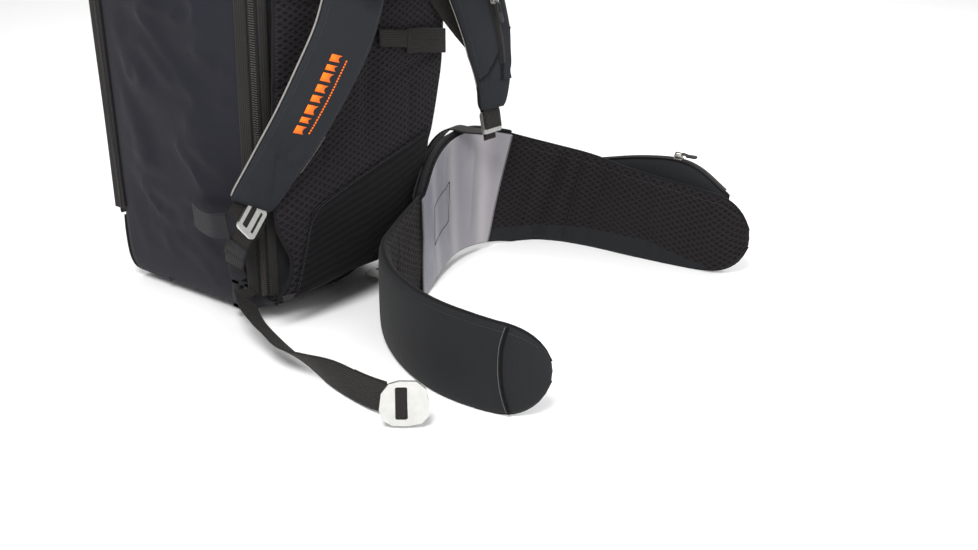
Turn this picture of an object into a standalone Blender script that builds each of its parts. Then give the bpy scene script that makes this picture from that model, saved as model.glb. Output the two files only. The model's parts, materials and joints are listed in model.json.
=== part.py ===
"""Avalanche airbag backpack with its removable hip belt standing in front of it.

Metres, +Z up. The origin is the centre of the pack's flat base. The wearer's side faces -Y, so the
wearer's right is -X and the wearer's left is +X. Soft pieces are plain closed solids here.
"""
import math

import bmesh
import bpy
from mathutils import Euler, Matrix, Vector

OBJECT_NAME = "avalanche_airbag_backpack"

# Driving dimensions
GAP = 0.0003
HALF_BASE = 0.112
HALF_TOP = 0.132
BAG_TOP = 0.480
BAG_FRONT = 0.107
BACK_AT_BASE = -0.1068
BACK_SLOPE = -0.060
WALL = 0.004
BASE_THICK = 0.006
SHEET_THICK = 0.0025
SHEET_LOW = 0.034
DOOR_THICK = 0.012
DOOR_LOW = 0.075
BACK_TOP = 0.465
HEM = 0.024
TRAY_TOP = 0.550
TRAY_BACK = -0.128
STRAP_THICK = 0.012
WEB_THICK = 0.0016
HIP_WEB_WIDTH = 0.030
BELT_PAD_THICK = 0.010
COVER_THICK = 0.0012
ZIP_THICK = 0.0012

TILT = math.atan(-BACK_SLOPE)
SIDE_TILT = math.atan((HALF_TOP - HALF_BASE) / BAG_TOP)
FACE_Y = Euler((math.pi / 2, 0, 0))
FACE_X = Euler((math.pi / 2, 0, math.pi / 2))
RIGHT, LEFT = -1, 1

for old in list(bpy.data.objects):
    bpy.data.objects.remove(old)
parts = bpy.data.collections.new(OBJECT_NAME)
cutters = bpy.data.collections.new("cutters")
bpy.context.scene.collection.children.link(parts)
bpy.context.scene.collection.children.link(cutters)


# ---------------------------------------------------------------- materials
def material(name, colour, roughness, metallic=0.0):
    made = bpy.data.materials.new(name)
    made.use_nodes = True
    shader = made.node_tree.nodes["Principled BSDF"]
    shader.inputs["Base Color"].default_value = (*colour, 1)
    shader.inputs["Roughness"].default_value = roughness
    shader.inputs["Metallic"].default_value = metallic
    made.diffuse_color = (*colour, 1)
    return made


NAVY = material("side_fabric", (0.022, 0.022, 0.030), 0.75)
CHARCOAL = material("strap_fabric", (0.022, 0.024, 0.028), 0.75)
MESH = material("spacer_mesh", (0.018, 0.014, 0.018), 0.85)
WEBBING = material("webbing", (0.026, 0.024, 0.023), 0.6)
ZIP_TAPE = material("zip_tape", (0.030, 0.028, 0.027), 0.6)
GREY = material("belt_grey", (0.20, 0.20, 0.24), 0.5)
ORANGE = material("airbag_orange", (0.90, 0.13, 0.02), 0.6)
ALUMINIUM = material("aluminium", (0.75, 0.75, 0.73), 0.35, 1.0)
STEEL = material("steel", (0.45, 0.45, 0.45), 0.35, 1.0)
PLASTIC = material("black_plastic", (0.015, 0.015, 0.016), 0.45)
BOARD = material("frame_board", (0.05, 0.05, 0.055), 0.5)
BRASS = material("brass", (0.70, 0.50, 0.20), 0.3, 1.0)


# ---------------------------------------------------------------- shape helpers
def back_y(z):
    """Outer face of the bag's back at height z."""
    return BACK_AT_BASE + BACK_SLOPE * z


def side_x(z):
    """Middle of the side wall's thickness at height z."""
    return HALF_BASE + (HALF_TOP - HALF_BASE) * z / BAG_TOP


def keep(made, name, look, collection=parts):
    made.name = name
    for home in list(made.users_collection):
        home.objects.unlink(made)
    collection.objects.link(made)
    if look:
        made.data.materials.clear()
        made.data.materials.append(look)
    return made


def bevel(made, width, segments=1):
    bpy.context.view_layer.objects.active = made
    made.select_set(True)
    bpy.ops.object.transform_apply(location=False, rotation=False, scale=True)
    made.select_set(False)
    edge = made.modifiers.new("Bevel", "BEVEL")
    edge.width = width
    edge.segments = segments
    edge.limit_method = "ANGLE"
    return made


def box(name, size, centre, look, edge=0.0, segments=1, turn=(0, 0, 0), collection=parts):
    bpy.ops.mesh.primitive_cube_add(size=1, location=centre, rotation=turn)
    made = keep(bpy.context.object, name, look, collection)
    made.scale = size
    return bevel(made, edge, segments) if edge else made


def drum(name, radius, depth, centre, look, turn=(0, 0, 0), edge=0.0, collection=parts, sides=18):
    bpy.ops.mesh.primitive_cylinder_add(
        radius=radius, depth=depth, location=centre, rotation=turn, vertices=sides
    )
    made = keep(bpy.context.object, name, look, collection)
    return bevel(made, edge) if edge else made


def rounded(width, height, radius, steps=3):
    """Corner-rounded rectangle, anticlockwise, centred on the origin."""
    points = []
    for corner, (sx, sy) in enumerate(((1, 1), (-1, 1), (-1, -1), (1, -1))):
        centre = Vector((sx * (width / 2 - radius), sy * (height / 2 - radius)))
        for step in range(steps + 1):
            angle = math.pi / 2 * (corner + step / steps)
            points.append(centre + radius * Vector((math.cos(angle), math.sin(angle))))
    return points


def plate(name, outlines, thickness, centre, turn, look):
    """Flat plate from an outer outline and its hole outlines."""
    curve = bpy.data.curves.new(name, "CURVE")
    curve.dimensions = "2D"
    curve.fill_mode = "BOTH"
    curve.extrude = thickness / 2
    for outline in outlines:
        spline = curve.splines.new("POLY")
        spline.points.add(len(outline) - 1)
        for point, place in zip(spline.points, outline):
            point.co = (place[0], place[1], 0, 1)
        spline.use_cyclic_u = True
    made = bpy.data.objects.new(name, curve)
    made.location = centre
    made.rotation_euler = turn
    cutters.objects.link(made)
    return keep(made, name, look)


def shift(points, dx, dy=0.0):
    return [Vector((p[0] + dx, p[1] + dy)) for p in points]


def tube(name, route, radius, look, sides=2):
    curve = bpy.data.curves.new(name, "CURVE")
    curve.dimensions = "3D"
    curve.bevel_depth = radius
    curve.bevel_resolution = sides
    curve.use_fill_caps = True
    spline = curve.splines.new("POLY")
    spline.points.add(len(route) - 1)
    for point, place in zip(spline.points, route):
        point.co = (*place, 1)
    made = bpy.data.objects.new(name, curve)
    cutters.objects.link(made)
    return keep(made, name, look)


def smooth(route, per_span=3):
    """Catmull-Rom points through a hand-chosen route."""
    route = [Vector(p) for p in route]
    ends = [2 * route[0] - route[1]] + route + [2 * route[-1] - route[-2]]
    points = []
    for i in range(1, len(ends) - 2):
        a, b, c, d = ends[i - 1:i + 3]
        for step in range(per_span):
            t = step / per_span
            points.append(0.5 * (2 * b + (c - a) * t + (2 * a - 5 * b + 4 * c - d) * t * t
                                 + (3 * b - a - 3 * c + d) * t ** 3))
    return points + [route[-1]]


def ribbon(name, centres, halves, thickness, look):
    """Band along centres, reaching halves[i] to each side, with an even thickness."""
    grid = bmesh.new()
    rows = [(grid.verts.new(c + h), grid.verts.new(c - h)) for c, h in zip(centres, halves)]
    for (a, b), (c, d) in zip(rows, rows[1:]):
        grid.faces.new((a, b, d, c))
    data = bpy.data.meshes.new(name)
    grid.to_mesh(data)
    grid.free()
    made = bpy.data.objects.new(name, data)
    cutters.objects.link(made)
    shell = made.modifiers.new("Solidify", "SOLIDIFY")
    shell.thickness = thickness
    shell.offset = 0
    return keep(made, name, look)


def strap(name, route, widths, normal, thickness, look, per_span=2):
    """Ribbon whose face looks along normal and whose width runs across its route."""
    centres = smooth(route, per_span)
    halves = []
    for i, centre in enumerate(centres):
        ahead = centres[min(i + 1, len(centres) - 1)] - centres[max(i - 1, 0)]
        across = ahead.cross(Vector(normal)).normalized()
        share = i / (len(centres) - 1) * (len(widths) - 1)
        low = min(int(share), len(widths) - 2)
        width = widths[low] + (widths[low + 1] - widths[low]) * (share - low)
        halves.append(across * width / 2)
    return ribbon(name, centres, halves, thickness, look)


def boolean(made, other, operation):
    other.hide_render = True
    other.display_type = "WIRE"
    cut = made.modifiers.new(operation.title(), "BOOLEAN")
    cut.operation = operation
    cut.object = other
    return made


def turned(name, profile, centre, look, steps=18):
    """Body of revolution about Z; the profile runs down its +X side from axis to axis."""
    data = bpy.data.meshes.new(name)
    data.from_pydata([(r, 0, z) for r, z in profile],
                     [(i, i + 1) for i in range(len(profile) - 1)], [])
    made = bpy.data.objects.new(name, data)
    made.location = centre
    cutters.objects.link(made)
    spin = made.modifiers.new("Screw", "SCREW")
    spin.steps = spin.render_steps = steps
    spin.use_merge_vertices = True
    spin.merge_threshold = 0.0001
    return keep(made, name, look)


# ---------------------------------------------------------------- bag
def bag():
    keel = BASE_THICK / 2
    profile = [Vector((0, y, z)) for y, z in ((-0.1055, 0.0225), (-0.086, 0.0125), (-0.064, keel),
                                              (-0.030, keel), (0.036, keel), (0.103, keel))]
    ribbon("base_panel", profile, [Vector((0.111, 0, 0))] * len(profile), BASE_THICK, NAVY)
    low, high = BASE_THICK + 2 * GAP, BAG_TOP
    outline = [(BAG_FRONT, low), (BAG_FRONT, high), (back_y(high) + GAP, high),
               (back_y(HEM) + GAP, 0.0285), (-0.0855, 0.0175), (-0.062, low)]
    for name, side in (("side_panel_right", RIGHT), ("side_panel_left", LEFT)):
        turn = Matrix.Rotation(side * SIDE_TILT, 3, "Y") @ FACE_X.to_matrix()
        plate(name, [outline], WALL, (side * HALF_BASE, 0, 0), turn.to_euler(), NAVY)
    inner = HALF_BASE - WALL / 2 - 0.001
    plate("compartment_divider",
          [[(inner, 0.008), (inner + 0.0150, 0.38), (-inner - 0.0150, 0.38), (-inner, 0.008)]],
          0.002, (0, 0.052, 0), FACE_Y, NAVY)
    plate("front_lower_panel", [shift(rounded(0.232, DOOR_LOW - low - 0.001, 0.004), 0,
                                      (DOOR_LOW + low) / 2)],
          WALL, (0, BAG_FRONT + WALL / 2 + GAP, 0), FACE_Y, NAVY)
    door_height = BAG_TOP - DOOR_LOW - 0.002
    box("front_panel", (0.258, DOOR_THICK, door_height),
        (0, BAG_FRONT + GAP + DOOR_THICK / 2, DOOR_LOW + 0.001 + door_height / 2), NAVY, 0.004)
    zip_face = BAG_FRONT + GAP + DOOR_THICK
    slider("front_zip_slider", (0.112, zip_face + 0.0044, 0.44), (math.pi / 2, 0, math.pi))
    loop = smooth([(0.05, BAG_FRONT + WALL + 0.0015, 0.046), (0.05, 0.128, 0.040),
                   (0.05, 0.142, 0.028), (0.05, 0.130, 0.014), (0.05, 0.1145, 0.012)], 2)
    ribbon("ice_axe_loop", loop, [Vector((0.010, 0, 0))] * len(loop), WEB_THICK, WEBBING)


def slider(name, centre, turn):
    """Zip slider body and its hanging pull tab, one solid, with its face towards local +Z."""
    made = box(name, (0.009, 0.013, 0.0055), centre, STEEL, 0.001, turn=turn)
    down = Euler(turn).to_matrix() @ Vector((0, -0.0125, 0.0012))
    tab = box(name + "_tab", (0.0055, 0.020, 0.0018), Vector(centre) + down, None, 0.0006,
              turn=turn, collection=cutters)
    return boolean(made, tab, "UNION")


# ---------------------------------------------------------------- airbag and its cover
def airbag_top():
    depth = BAG_FRONT - 0.002 - TRAY_BACK
    middle = (BAG_FRONT - 0.002 + TRAY_BACK) / 2
    height = TRAY_TOP - BAG_TOP - 0.0005
    tray = box("airbag_tray", (0.262, depth, height),
               (0, middle, BAG_TOP + 0.0005 + height / 2), NAVY)
    hollow = box("tray_hollow", (0.256, depth - 0.006, height),
                 (0, middle, BAG_TOP + 0.0035 + height / 2), None, collection=cutters)
    boolean(tray, hollow, "DIFFERENCE")
    box("airbag_folded", (0.236, 0.196, 0.080), (0, middle, BAG_TOP + 0.046), ORANGE, 0.014, 2)
    arc = smooth([(0, TRAY_BACK + 0.001, 0.5535), (0, -0.120, 0.576), (0, -0.088, 0.594),
                  (0, -0.010, 0.603), (0, 0.066, 0.595), (0, 0.097, 0.576),
                  (0, BAG_FRONT - 0.003, 0.5535)], 2)
    ribbon("burst_cover", arc, [Vector((0.131, 0, 0))] * len(arc), 0.003, NAVY)
    loop = smooth([(-0.035, -0.1335, 0.498), (-0.033, -0.1335, 0.525), (-0.020, -0.1335, 0.544),
                   (0, -0.1335, 0.550), (0.020, -0.1335, 0.544), (0.033, -0.1335, 0.525),
                   (0.035, -0.1335, 0.498)], 3)
    ribbon("haul_loop", loop, [Vector((0, 0.0040, 0))] * len(loop), 0.004, WEBBING)


def inflation_system():
    unit = (0.078, -0.020, 0.4395)
    body = box("inflation_unit", (0.070, 0.060, 0.076), unit, PLASTIC, 0.006)
    intake = drum("air_intake", 0.020, 0.030, (unit[0] - 0.0450, unit[1], unit[2]), None,
                  (0, math.pi / 2, 0), collection=cutters)
    boolean(body, intake, "UNION")
    profile = [(0, 0.214), (0.007, 0.214), (0.007, 0.200), (0.012, 0.194), (0.022, 0.184),
               (0.026, 0.172), (0.026, 0.014), (0.022, 0.004), (0.012, 0), (0, 0)]
    turned("gas_cartridge", profile, (unit[0], unit[1], unit[2] - 0.038 - 0.2145), STEEL)
    drum("pressure_gauge", 0.012, 0.010, (unit[0] + 0.012, unit[1] - 0.0355, unit[2] + 0.010),
         BRASS, FACE_Y, 0.001)
    lever = [(-0.004, -0.006), (0.004, -0.006), (0.003, 0.024), (-0.003, 0.024)]
    plate("firing_lever", [lever], 0.003, (unit[0] - 0.018, unit[1] - 0.0325, unit[2]), FACE_Y,
          ALUMINIUM)
    route = smooth([(0.062, -0.056, 0.4570), (0.066, -0.080, 0.4690), (0.080, -0.115, 0.4735),
                    (0.096, -0.150, 0.4710), (0.110, -0.174, 0.456), (0.117, -0.188, 0.432),
                    (0.114, -0.1965, 0.4140)], 4)
    tube("trigger_cable", route, 0.002, PLASTIC)


# ---------------------------------------------------------------- back system
def across_back(name, half_width, aside, middle, half_height, stand_off, bulge, thickness):
    """Mesh pad across the back, standing off it and crowned towards the wearer."""
    rows = 9
    centres, halves = [], []
    for i in range(rows):
        u = 2 * i / (rows - 1) - 1
        centres.append(Vector((u * half_width + aside, back_y(middle) - stand_off
                               - bulge * (1 - u * u), middle)))
        halves.append(Vector((0, BACK_SLOPE * half_height, half_height)))
    return ribbon(name, centres, halves, thickness, MESH)


def back_system():
    low = -(BACK_TOP - SHEET_LOW) / 2
    middle = SHEET_LOW - low
    outline = [(-0.118, -low), (-0.108, low + 0.060), (-0.085, low), (0.085, low),
               (0.108, low + 0.060), (0.118, -low)]
    plate("framesheet", [outline], SHEET_THICK,
          (0, back_y(middle) - SHEET_THICK / 2 - GAP, middle), (math.pi / 2 + TILT, 0, 0), BOARD)
    for name, side in (("frame_stay_right", RIGHT), ("frame_stay_left", LEFT)):
        box(name, (0.020, 0.003, 0.400), (side * 0.050, back_y(0.255) + 0.003, 0.255),
            ALUMINIUM, 0.0008, turn=(TILT, 0, 0))
    across_back("back_pad", 0.114, 0, 0.332, 0.132, 0.0150, 0.004, 0.018)
    across_back("lumbar_pad", 0.0935, -0.0035, 0.112, 0.078, 0.0172, 0.006, 0.010)
    for name, side in (("back_zip_right", RIGHT), ("back_zip_left", LEFT)):
        centres = [Vector((side * (side_x(z) + WALL / 2 + 0.0011), back_y(z) + 0.008, z))
                   for z in (0.036, 0.18, 0.32, 0.46)]
        ribbon(name, centres, [Vector((0, 0.013, 0))] * 4, ZIP_THICK, ZIP_TAPE)
    turn = (math.pi / 2, 0, -math.pi / 2)
    slider("back_zip_slider", (-side_x(0.44) - 0.0080, back_y(0.44) + 0.008, 0.44), turn)
    band = smooth([(0.050, -0.1535, 0.272), (0.070, -0.1545, 0.270), (0.092, -0.1535, 0.266),
                   (0.112, -0.1500, 0.262)], 2)
    ribbon("keeper_band_left", band, [Vector((0, 0, 0.0125))] * len(band), WEB_THICK, WEBBING)


# ---------------------------------------------------------------- shoulder straps
RIGHT_STRAP = [(-0.142, -0.130, 0.148), (-0.128, -0.144, 0.177), (-0.108, -0.162, 0.219),
               (-0.087, -0.178, 0.266), (-0.070, -0.188, 0.306), (-0.058, -0.192, 0.346),
               (-0.050, -0.191, 0.386), (-0.045, -0.184, 0.424), (-0.043, -0.176, 0.458)]
LEFT_STRAP = [(0.161, -0.172, 0.184), (0.161, -0.174, 0.216), (0.149, -0.178, 0.258),
              (0.128, -0.182, 0.304), (0.103, -0.187, 0.346), (0.080, -0.190, 0.386),
              (0.062, -0.185, 0.424), (0.053, -0.177, 0.458)]
RIGHT_FACE = Vector((-0.10, -1, 0)).normalized()
LEFT_FACE = Vector((-0.10, -1, 0)).normalized()


def on_strap(route, face, share, aside, proud):
    """Point on a strap's outer face and the turn whose local Y runs up the strap, Z outward."""
    points = smooth(route, 6)
    i = max(1, min(round(share * (len(points) - 1)), len(points) - 2))
    up = (points[i + 1] - points[i - 1]).normalized()
    across = up.cross(face).normalized()
    outward = across.cross(up)
    turn = Matrix((across, up, outward)).transposed().to_euler()
    return points[i] + across * aside + outward * (STRAP_THICK / 2 + proud), turn


def hook_buckle(name, centre, turn):
    """Flat ladder hook with a wide top slot and a narrow tail slot."""
    outer = rounded(0.034, 0.024, 0.004)
    top = shift(rounded(0.024, 0.0065, 0.0015), 0, 0.0045)
    tail = shift(rounded(0.024, 0.0030, 0.0010), 0, -0.0060)
    return plate(name, [outer, top, tail], 0.003, centre, turn, ALUMINIUM)


def shoulder_straps():
    strap("shoulder_strap_right", RIGHT_STRAP, (0.052, 0.062, 0.068, 0.070, 0.068, 0.064),
          RIGHT_FACE, STRAP_THICK, CHARCOAL)
    strap("shoulder_strap_left", LEFT_STRAP, (0.036, 0.062, 0.068, 0.066, 0.062),
          LEFT_FACE, STRAP_THICK, CHARCOAL)
    for name, side, inset in (("load_lifter_right", RIGHT, 0.0), ("load_lifter_left", LEFT, 0.004)):
        route = [(side * 0.062, -0.1305, 0.528), (side * 0.060, -0.171, 0.488),
                 (side * (0.052 + inset), -0.1975, 0.446)]
        ribbon(name, smooth(route, 2), [Vector((0.010, 0, 0))] * 5, WEB_THICK, WEBBING)
    for name, route, face in (("load_lifter_lock_right", RIGHT_STRAP, RIGHT_FACE),
                              ("load_lifter_lock_left", LEFT_STRAP, LEFT_FACE)):
        centre, turn = on_strap(route, face, 0.85, 0.0, 0.0060)
        plate(name, [rounded(0.027, 0.022, 0.003), shift(rounded(0.020, 0.003, 0.001), 0, 0.005),
                     shift(rounded(0.020, 0.003, 0.001), 0, -0.004)], 0.003, centre, turn, PLASTIC)
    hook_buckle("hook_buckle_right", (-0.1480, -0.1325, 0.1300), (1.25, -0.62, 0.25))
    hook_buckle("hook_buckle_left", (0.1620, -0.1700, 0.1685), (1.35, 0.05, 0.10))
    strap("lower_webbing_right", [(-0.1545, -0.128, 0.116), (-0.1530, -0.114, 0.099),
                                  (-0.1445, -0.100, 0.083), (-0.1350, -0.088, 0.069)],
          (0.020, 0.020), (-1, -0.6, 0.2), WEB_THICK, WEBBING)
    over_belt = smooth([(0.1610, -0.1660, 0.1560), (0.1590, -0.1430, 0.1540),
                        (0.1560, -0.1180, 0.1530), (0.1500, -0.0990, 0.134),
                        (0.1420, -0.0880, 0.100), (0.1370, -0.0840, 0.068)], 2)
    ribbon("lower_webbing_left", over_belt, [Vector((0.0100, 0.001, 0))] * len(over_belt),
           WEB_THICK, WEBBING)
    strap("adjuster_tail_right", [(-0.1640, -0.116, 0.124), (-0.1640, -0.092, 0.119),
                                  (-0.1530, -0.062, 0.115), (-0.1400, -0.036, 0.113)],
          (0.024, 0.024), (-1, 0, 0), WEB_THICK, WEBBING)
    for name, side in (("hip_loop_right", RIGHT), ("hip_loop_left", LEFT)):
        plate(name, [rounded(0.030, 0.032, 0.005), rounded(0.008, 0.022, 0.002)], 0.003,
              (side * 0.1196, -0.080, 0.0300), (math.pi / 2, 0, math.pi / 2), WEBBING)


def trigger_pocket():
    places = [on_strap(LEFT_STRAP, LEFT_FACE, share, 0.014, 0.0014)
              for share in (0.20, 0.30, 0.40, 0.50, 0.58)]
    halves = [turn.to_matrix() @ Vector((0.004, 0, 0)) for _, turn in places]
    ribbon("trigger_pocket_zip", [centre for centre, _ in places], halves, 0.0015, ZIP_TAPE)
    centre, turn = on_strap(LEFT_STRAP, LEFT_FACE, 0.44, 0.011, 0.0060)
    slider("pocket_zip_slider", centre, turn)
    centre, turn = on_strap(LEFT_STRAP, LEFT_FACE, 0.745, 0.0, 0.0090)
    grip = box("trigger_handle", (0.046, 0.016, 0.013), centre, ORANGE, 0.004, 2, turn=turn)
    stem_at = centre + turn.to_matrix() @ Vector((0.012, 0.0125, 0))
    stem = box("trigger_stem", (0.010, 0.014, 0.008), stem_at, None, 0.001, turn=turn,
               collection=cutters)
    boolean(grip, stem, "UNION")


def sternum_strap():
    y, z = -0.2060, 0.346
    flat = Vector((0, 0, 0.010))
    ribbon("sternum_webbing_right", [Vector((-0.062, y, z)), Vector((0.008, y, z))],
           [flat] * 2, WEB_THICK, WEBBING)
    ribbon("sternum_webbing_left", [Vector((0.050, y, z)), Vector((0.098, y, z))],
           [flat] * 2, WEB_THICK, WEBBING)
    tongue = box("sternum_clip_male", (0.012, 0.005, 0.016), (0.0190, y - 0.0048, z), PLASTIC,
                 0.0015)
    prong = box("clip_prong", (0.016, 0.0020, 0.013), (0.030, y - 0.0048, z), None,
                collection=cutters)
    boolean(tongue, prong, "UNION")
    socket = box("sternum_clip_female", (0.020, 0.008, 0.024), (0.0364, y - 0.0048, z), PLASTIC,
                 0.0015)
    mouth = box("clip_mouth", (0.016, 0.0052, 0.017), (0.0332, y - 0.0048, z), None,
                collection=cutters)
    boolean(socket, mouth, "DIFFERENCE")


def side_compression():
    for name, side in (("compression_strap_right", RIGHT), ("compression_strap_left", LEFT)):
        x = side * (side_x(0.405) + WALL / 2 + 0.0020)
        ribbon(name, [Vector((x, y, 0.405)) for y in (-0.090, 0.0, 0.100)],
               [Vector((0, 0, 0.010))] * 3, WEB_THICK, WEBBING)


# ---------------------------------------------------------------- hip webbing
def free_webbing(name, route, angles, width):
    """Free flat webbing; angles give the rise of its width above level at each route point."""
    centres = smooth(route, 2)
    halves = []
    for i, centre in enumerate(centres):
        ahead = (centres[min(i + 1, len(centres) - 1)] - centres[max(i - 1, 0)]).normalized()
        low = min(i // 2, len(angles) - 2)
        angle = math.radians(angles[low] + (angles[low + 1] - angles[low]) * (i / 2 - low))
        level = ahead.cross(Vector((0, 0, 1))).normalized()
        upright = level.cross(ahead)
        halves.append((level * math.cos(angle) + upright * math.sin(angle)) * width / 2)
    return ribbon(name, centres, halves, WEB_THICK, WEBBING)


def hip_webbing():
    """Webbing lying and standing free beside the pack, with a plate buckle at each end."""
    free_webbing("hip_webbing_right",
                 [(-0.1345, -0.1000, 0.0360), (-0.1420, -0.114, 0.0310), (-0.1495, -0.1320, 0.026),
                  (-0.1580, -0.1635, 0.020), (-0.1660, -0.1965, 0.0155), (-0.1712, -0.2310, 0.0155),
                  (-0.1757, -0.2682, 0.0165), (-0.1816, -0.3088, 0.0170),
                  (-0.1861, -0.3440, 0.0200)],
                 (44, 42, 38, 36, 36, 58, 86, 92, 88), HIP_WEB_WIDTH)
    free_webbing("hip_webbing_left",
                 [(0.1310, -0.0930, 0.0360), (0.1330, -0.1010, 0.026), (0.1290, -0.1060, 0.0130),
                  (0.1180, -0.1060, 0.0040), (0.1080, -0.1030, 0.0022), (0.0980, -0.1000, 0.0022)],
                 (80, 70, 30, 6, 0, 0), 0.020)
    hip_buckle("hip_buckle_right", (-0.1892, -0.3651, 0.0240),
               (math.radians(86), 0, math.radians(-48)))
    hip_buckle("hip_buckle_left", (0.0740, -0.0960, 0.0025), (0, 0, math.radians(190)))


def hip_buckle(name, centre, turn):
    """Flat aluminium hook plate with one webbing slot."""
    outline = [(-0.021, -0.006), (-0.019, 0.009), (-0.012, 0.018), (-0.003, 0.0205),
               (0.012, 0.0200), (0.020, 0.013), (0.0225, 0.002), (0.0225, -0.012),
               (0.016, -0.019), (0.004, -0.0212), (-0.010, -0.0205), (-0.019, -0.015)]
    slot = shift(rounded(0.011, 0.030, 0.002), -0.0015)
    return plate(name, [outline, slot], 0.003, centre, turn, ALUMINIUM)


# ---------------------------------------------------------------- hip belt
# Plan of the belt's middle line from the right wing's tip to the left wing's tip, with the heights
# of its lower and upper edges.
WING_RIGHT = [((-0.0900, -0.4500), 0.027, 0.062), ((-0.1000, -0.4400), 0.012, 0.078),
              ((-0.1120, -0.4180), 0.003, 0.086), ((-0.1180, -0.3850), 0.001, 0.089),
              ((-0.1160, -0.3400), 0.001, 0.090), ((-0.1000, -0.2900), 0.001, 0.089),
              ((-0.0710, -0.2390), 0.001, 0.088), ((-0.0340, -0.1970), 0.001, 0.091),
              ((0.0090, -0.1770), 0.001, 0.099), ((0.0500, -0.1665), 0.002, 0.110)]
CENTRE = [((0.0583, -0.1637), 0.002, 0.116), ((0.0873, -0.1497), 0.006, 0.135),
          ((0.1205, -0.1357), 0.011, 0.144), ((0.1536, -0.1259), 0.013, 0.147),
          ((0.1878, -0.1217), 0.011, 0.145), ((0.2199, -0.1238), 0.007, 0.137),
          ((0.2407, -0.1290), 0.003, 0.131)]
WING_LEFT = [((0.2479, -0.1321), 0.001, 0.128), ((0.2676, -0.1455), 0.001, 0.120),
             ((0.2821, -0.1704), 0.001, 0.114), ((0.2914, -0.2119), 0.001, 0.109),
             ((0.2956, -0.2616), 0.001, 0.101), ((0.3007, -0.3082), 0.001, 0.096),
             ((0.3070, -0.3496), 0.002, 0.091), ((0.3130, -0.3830), 0.008, 0.083),
             ((0.3165, -0.4050), 0.022, 0.062)]
POCKET = [((0.2914, -0.2119), 0.012, 0.112), ((0.2956, -0.2616), 0.010, 0.117),
          ((0.3007, -0.3082), 0.010, 0.113), ((0.3050, -0.3340), 0.012, 0.106),
          ((0.3080, -0.3540), 0.016, 0.092)]


def belt_layer(name, plan, offset, thickness, look, low=0.0, high=0.0):
    """One layer of the belt, offset from the middle line towards its outer side."""
    points = smooth([(x, y, 0) for (x, y), _, _ in plan], 2)
    count = len(points)
    centres, halves = [], []
    for i in range(count):
        ahead = (points[min(i + 1, count - 1)] - points[max(i - 1, 0)]).normalized()
        outward = Vector((-ahead.y, ahead.x, 0))
        a, b = plan[i // 2], plan[min(i // 2 + 1, len(plan) - 1)]
        share = i / 2 - i // 2
        bottom = a[1] + (b[1] - a[1]) * share + low
        top = a[2] + (b[2] - a[2]) * share + high
        centre = points[i] + outward * offset
        centres.append(Vector((centre.x, centre.y, (bottom + top) / 2)))
        halves.append(Vector((0, 0, (top - bottom) / 2)))
    return ribbon(name, centres, halves, thickness, look)


def hip_belt():
    belt_layer("belt_wing_right", WING_RIGHT, 0.0, BELT_PAD_THICK + 0.002, CHARCOAL)
    belt_layer("belt_wing_left", WING_LEFT, 0.0, BELT_PAD_THICK + 0.002, MESH)
    belt_layer("belt_centre_pad", CENTRE, 0.0, BELT_PAD_THICK - 0.002, CHARCOAL)
    half = (BELT_PAD_THICK - 0.002) / 2
    belt_layer("belt_cover_inner", CENTRE, -half - COVER_THICK / 2 - GAP, COVER_THICK, GREY)
    belt_layer("belt_stiffener", CENTRE, half + COVER_THICK / 2 + GAP, COVER_THICK, BOARD,
               0.006, -0.006)
    belt_layer("belt_cover_outer", CENTRE, half + COVER_THICK * 1.5 + 2 * GAP, COVER_THICK, GREY)
    belt_layer("belt_pocket", POCKET, BELT_PAD_THICK / 2 + 0.0125, 0.020, CHARCOAL)
    slider("belt_pocket_slider", (0.3190, -0.3100, 0.1200), (0.0, 0.0, math.radians(7)))


bag()
airbag_top()
inflation_system()
back_system()
shoulder_straps()
trigger_pocket()
sternum_strap()
side_compression()
hip_webbing()
hip_belt()
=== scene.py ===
"""Looks of the avalanche airbag backpack and its detached hip belt."""
import json
import math

import bpy
import numpy as np
from mathutils import Euler, Matrix, Vector, noise

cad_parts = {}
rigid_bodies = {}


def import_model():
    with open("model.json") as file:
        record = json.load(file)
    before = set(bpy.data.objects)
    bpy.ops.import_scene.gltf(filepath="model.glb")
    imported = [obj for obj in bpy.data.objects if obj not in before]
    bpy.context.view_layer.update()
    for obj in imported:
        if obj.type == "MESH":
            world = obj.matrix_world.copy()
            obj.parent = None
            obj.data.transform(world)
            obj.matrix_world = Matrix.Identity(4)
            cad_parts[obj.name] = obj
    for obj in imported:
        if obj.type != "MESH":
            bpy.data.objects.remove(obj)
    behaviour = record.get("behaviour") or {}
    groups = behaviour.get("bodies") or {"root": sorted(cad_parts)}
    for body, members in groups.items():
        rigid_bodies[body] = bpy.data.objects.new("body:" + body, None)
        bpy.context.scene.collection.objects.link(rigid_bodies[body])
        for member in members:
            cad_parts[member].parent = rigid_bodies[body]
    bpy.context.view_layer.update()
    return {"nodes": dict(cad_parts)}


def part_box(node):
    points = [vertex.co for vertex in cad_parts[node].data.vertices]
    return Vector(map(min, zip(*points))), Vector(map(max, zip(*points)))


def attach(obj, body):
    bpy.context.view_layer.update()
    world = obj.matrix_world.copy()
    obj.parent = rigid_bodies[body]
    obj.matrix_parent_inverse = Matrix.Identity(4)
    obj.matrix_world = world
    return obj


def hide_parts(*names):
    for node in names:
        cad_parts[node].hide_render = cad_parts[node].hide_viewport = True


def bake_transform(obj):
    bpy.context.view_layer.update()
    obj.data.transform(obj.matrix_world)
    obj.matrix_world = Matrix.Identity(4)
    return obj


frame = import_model()

RIGHT, LEFT = -1, 1
BAG_TOP = 0.48
ZIP_Y = 0.112           # plane of the front door's zip
TRAY_Y = -0.0115        # middle of the airbag tray
COMPRESSION_Z = 0.405   # height of the side compression straps


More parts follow.
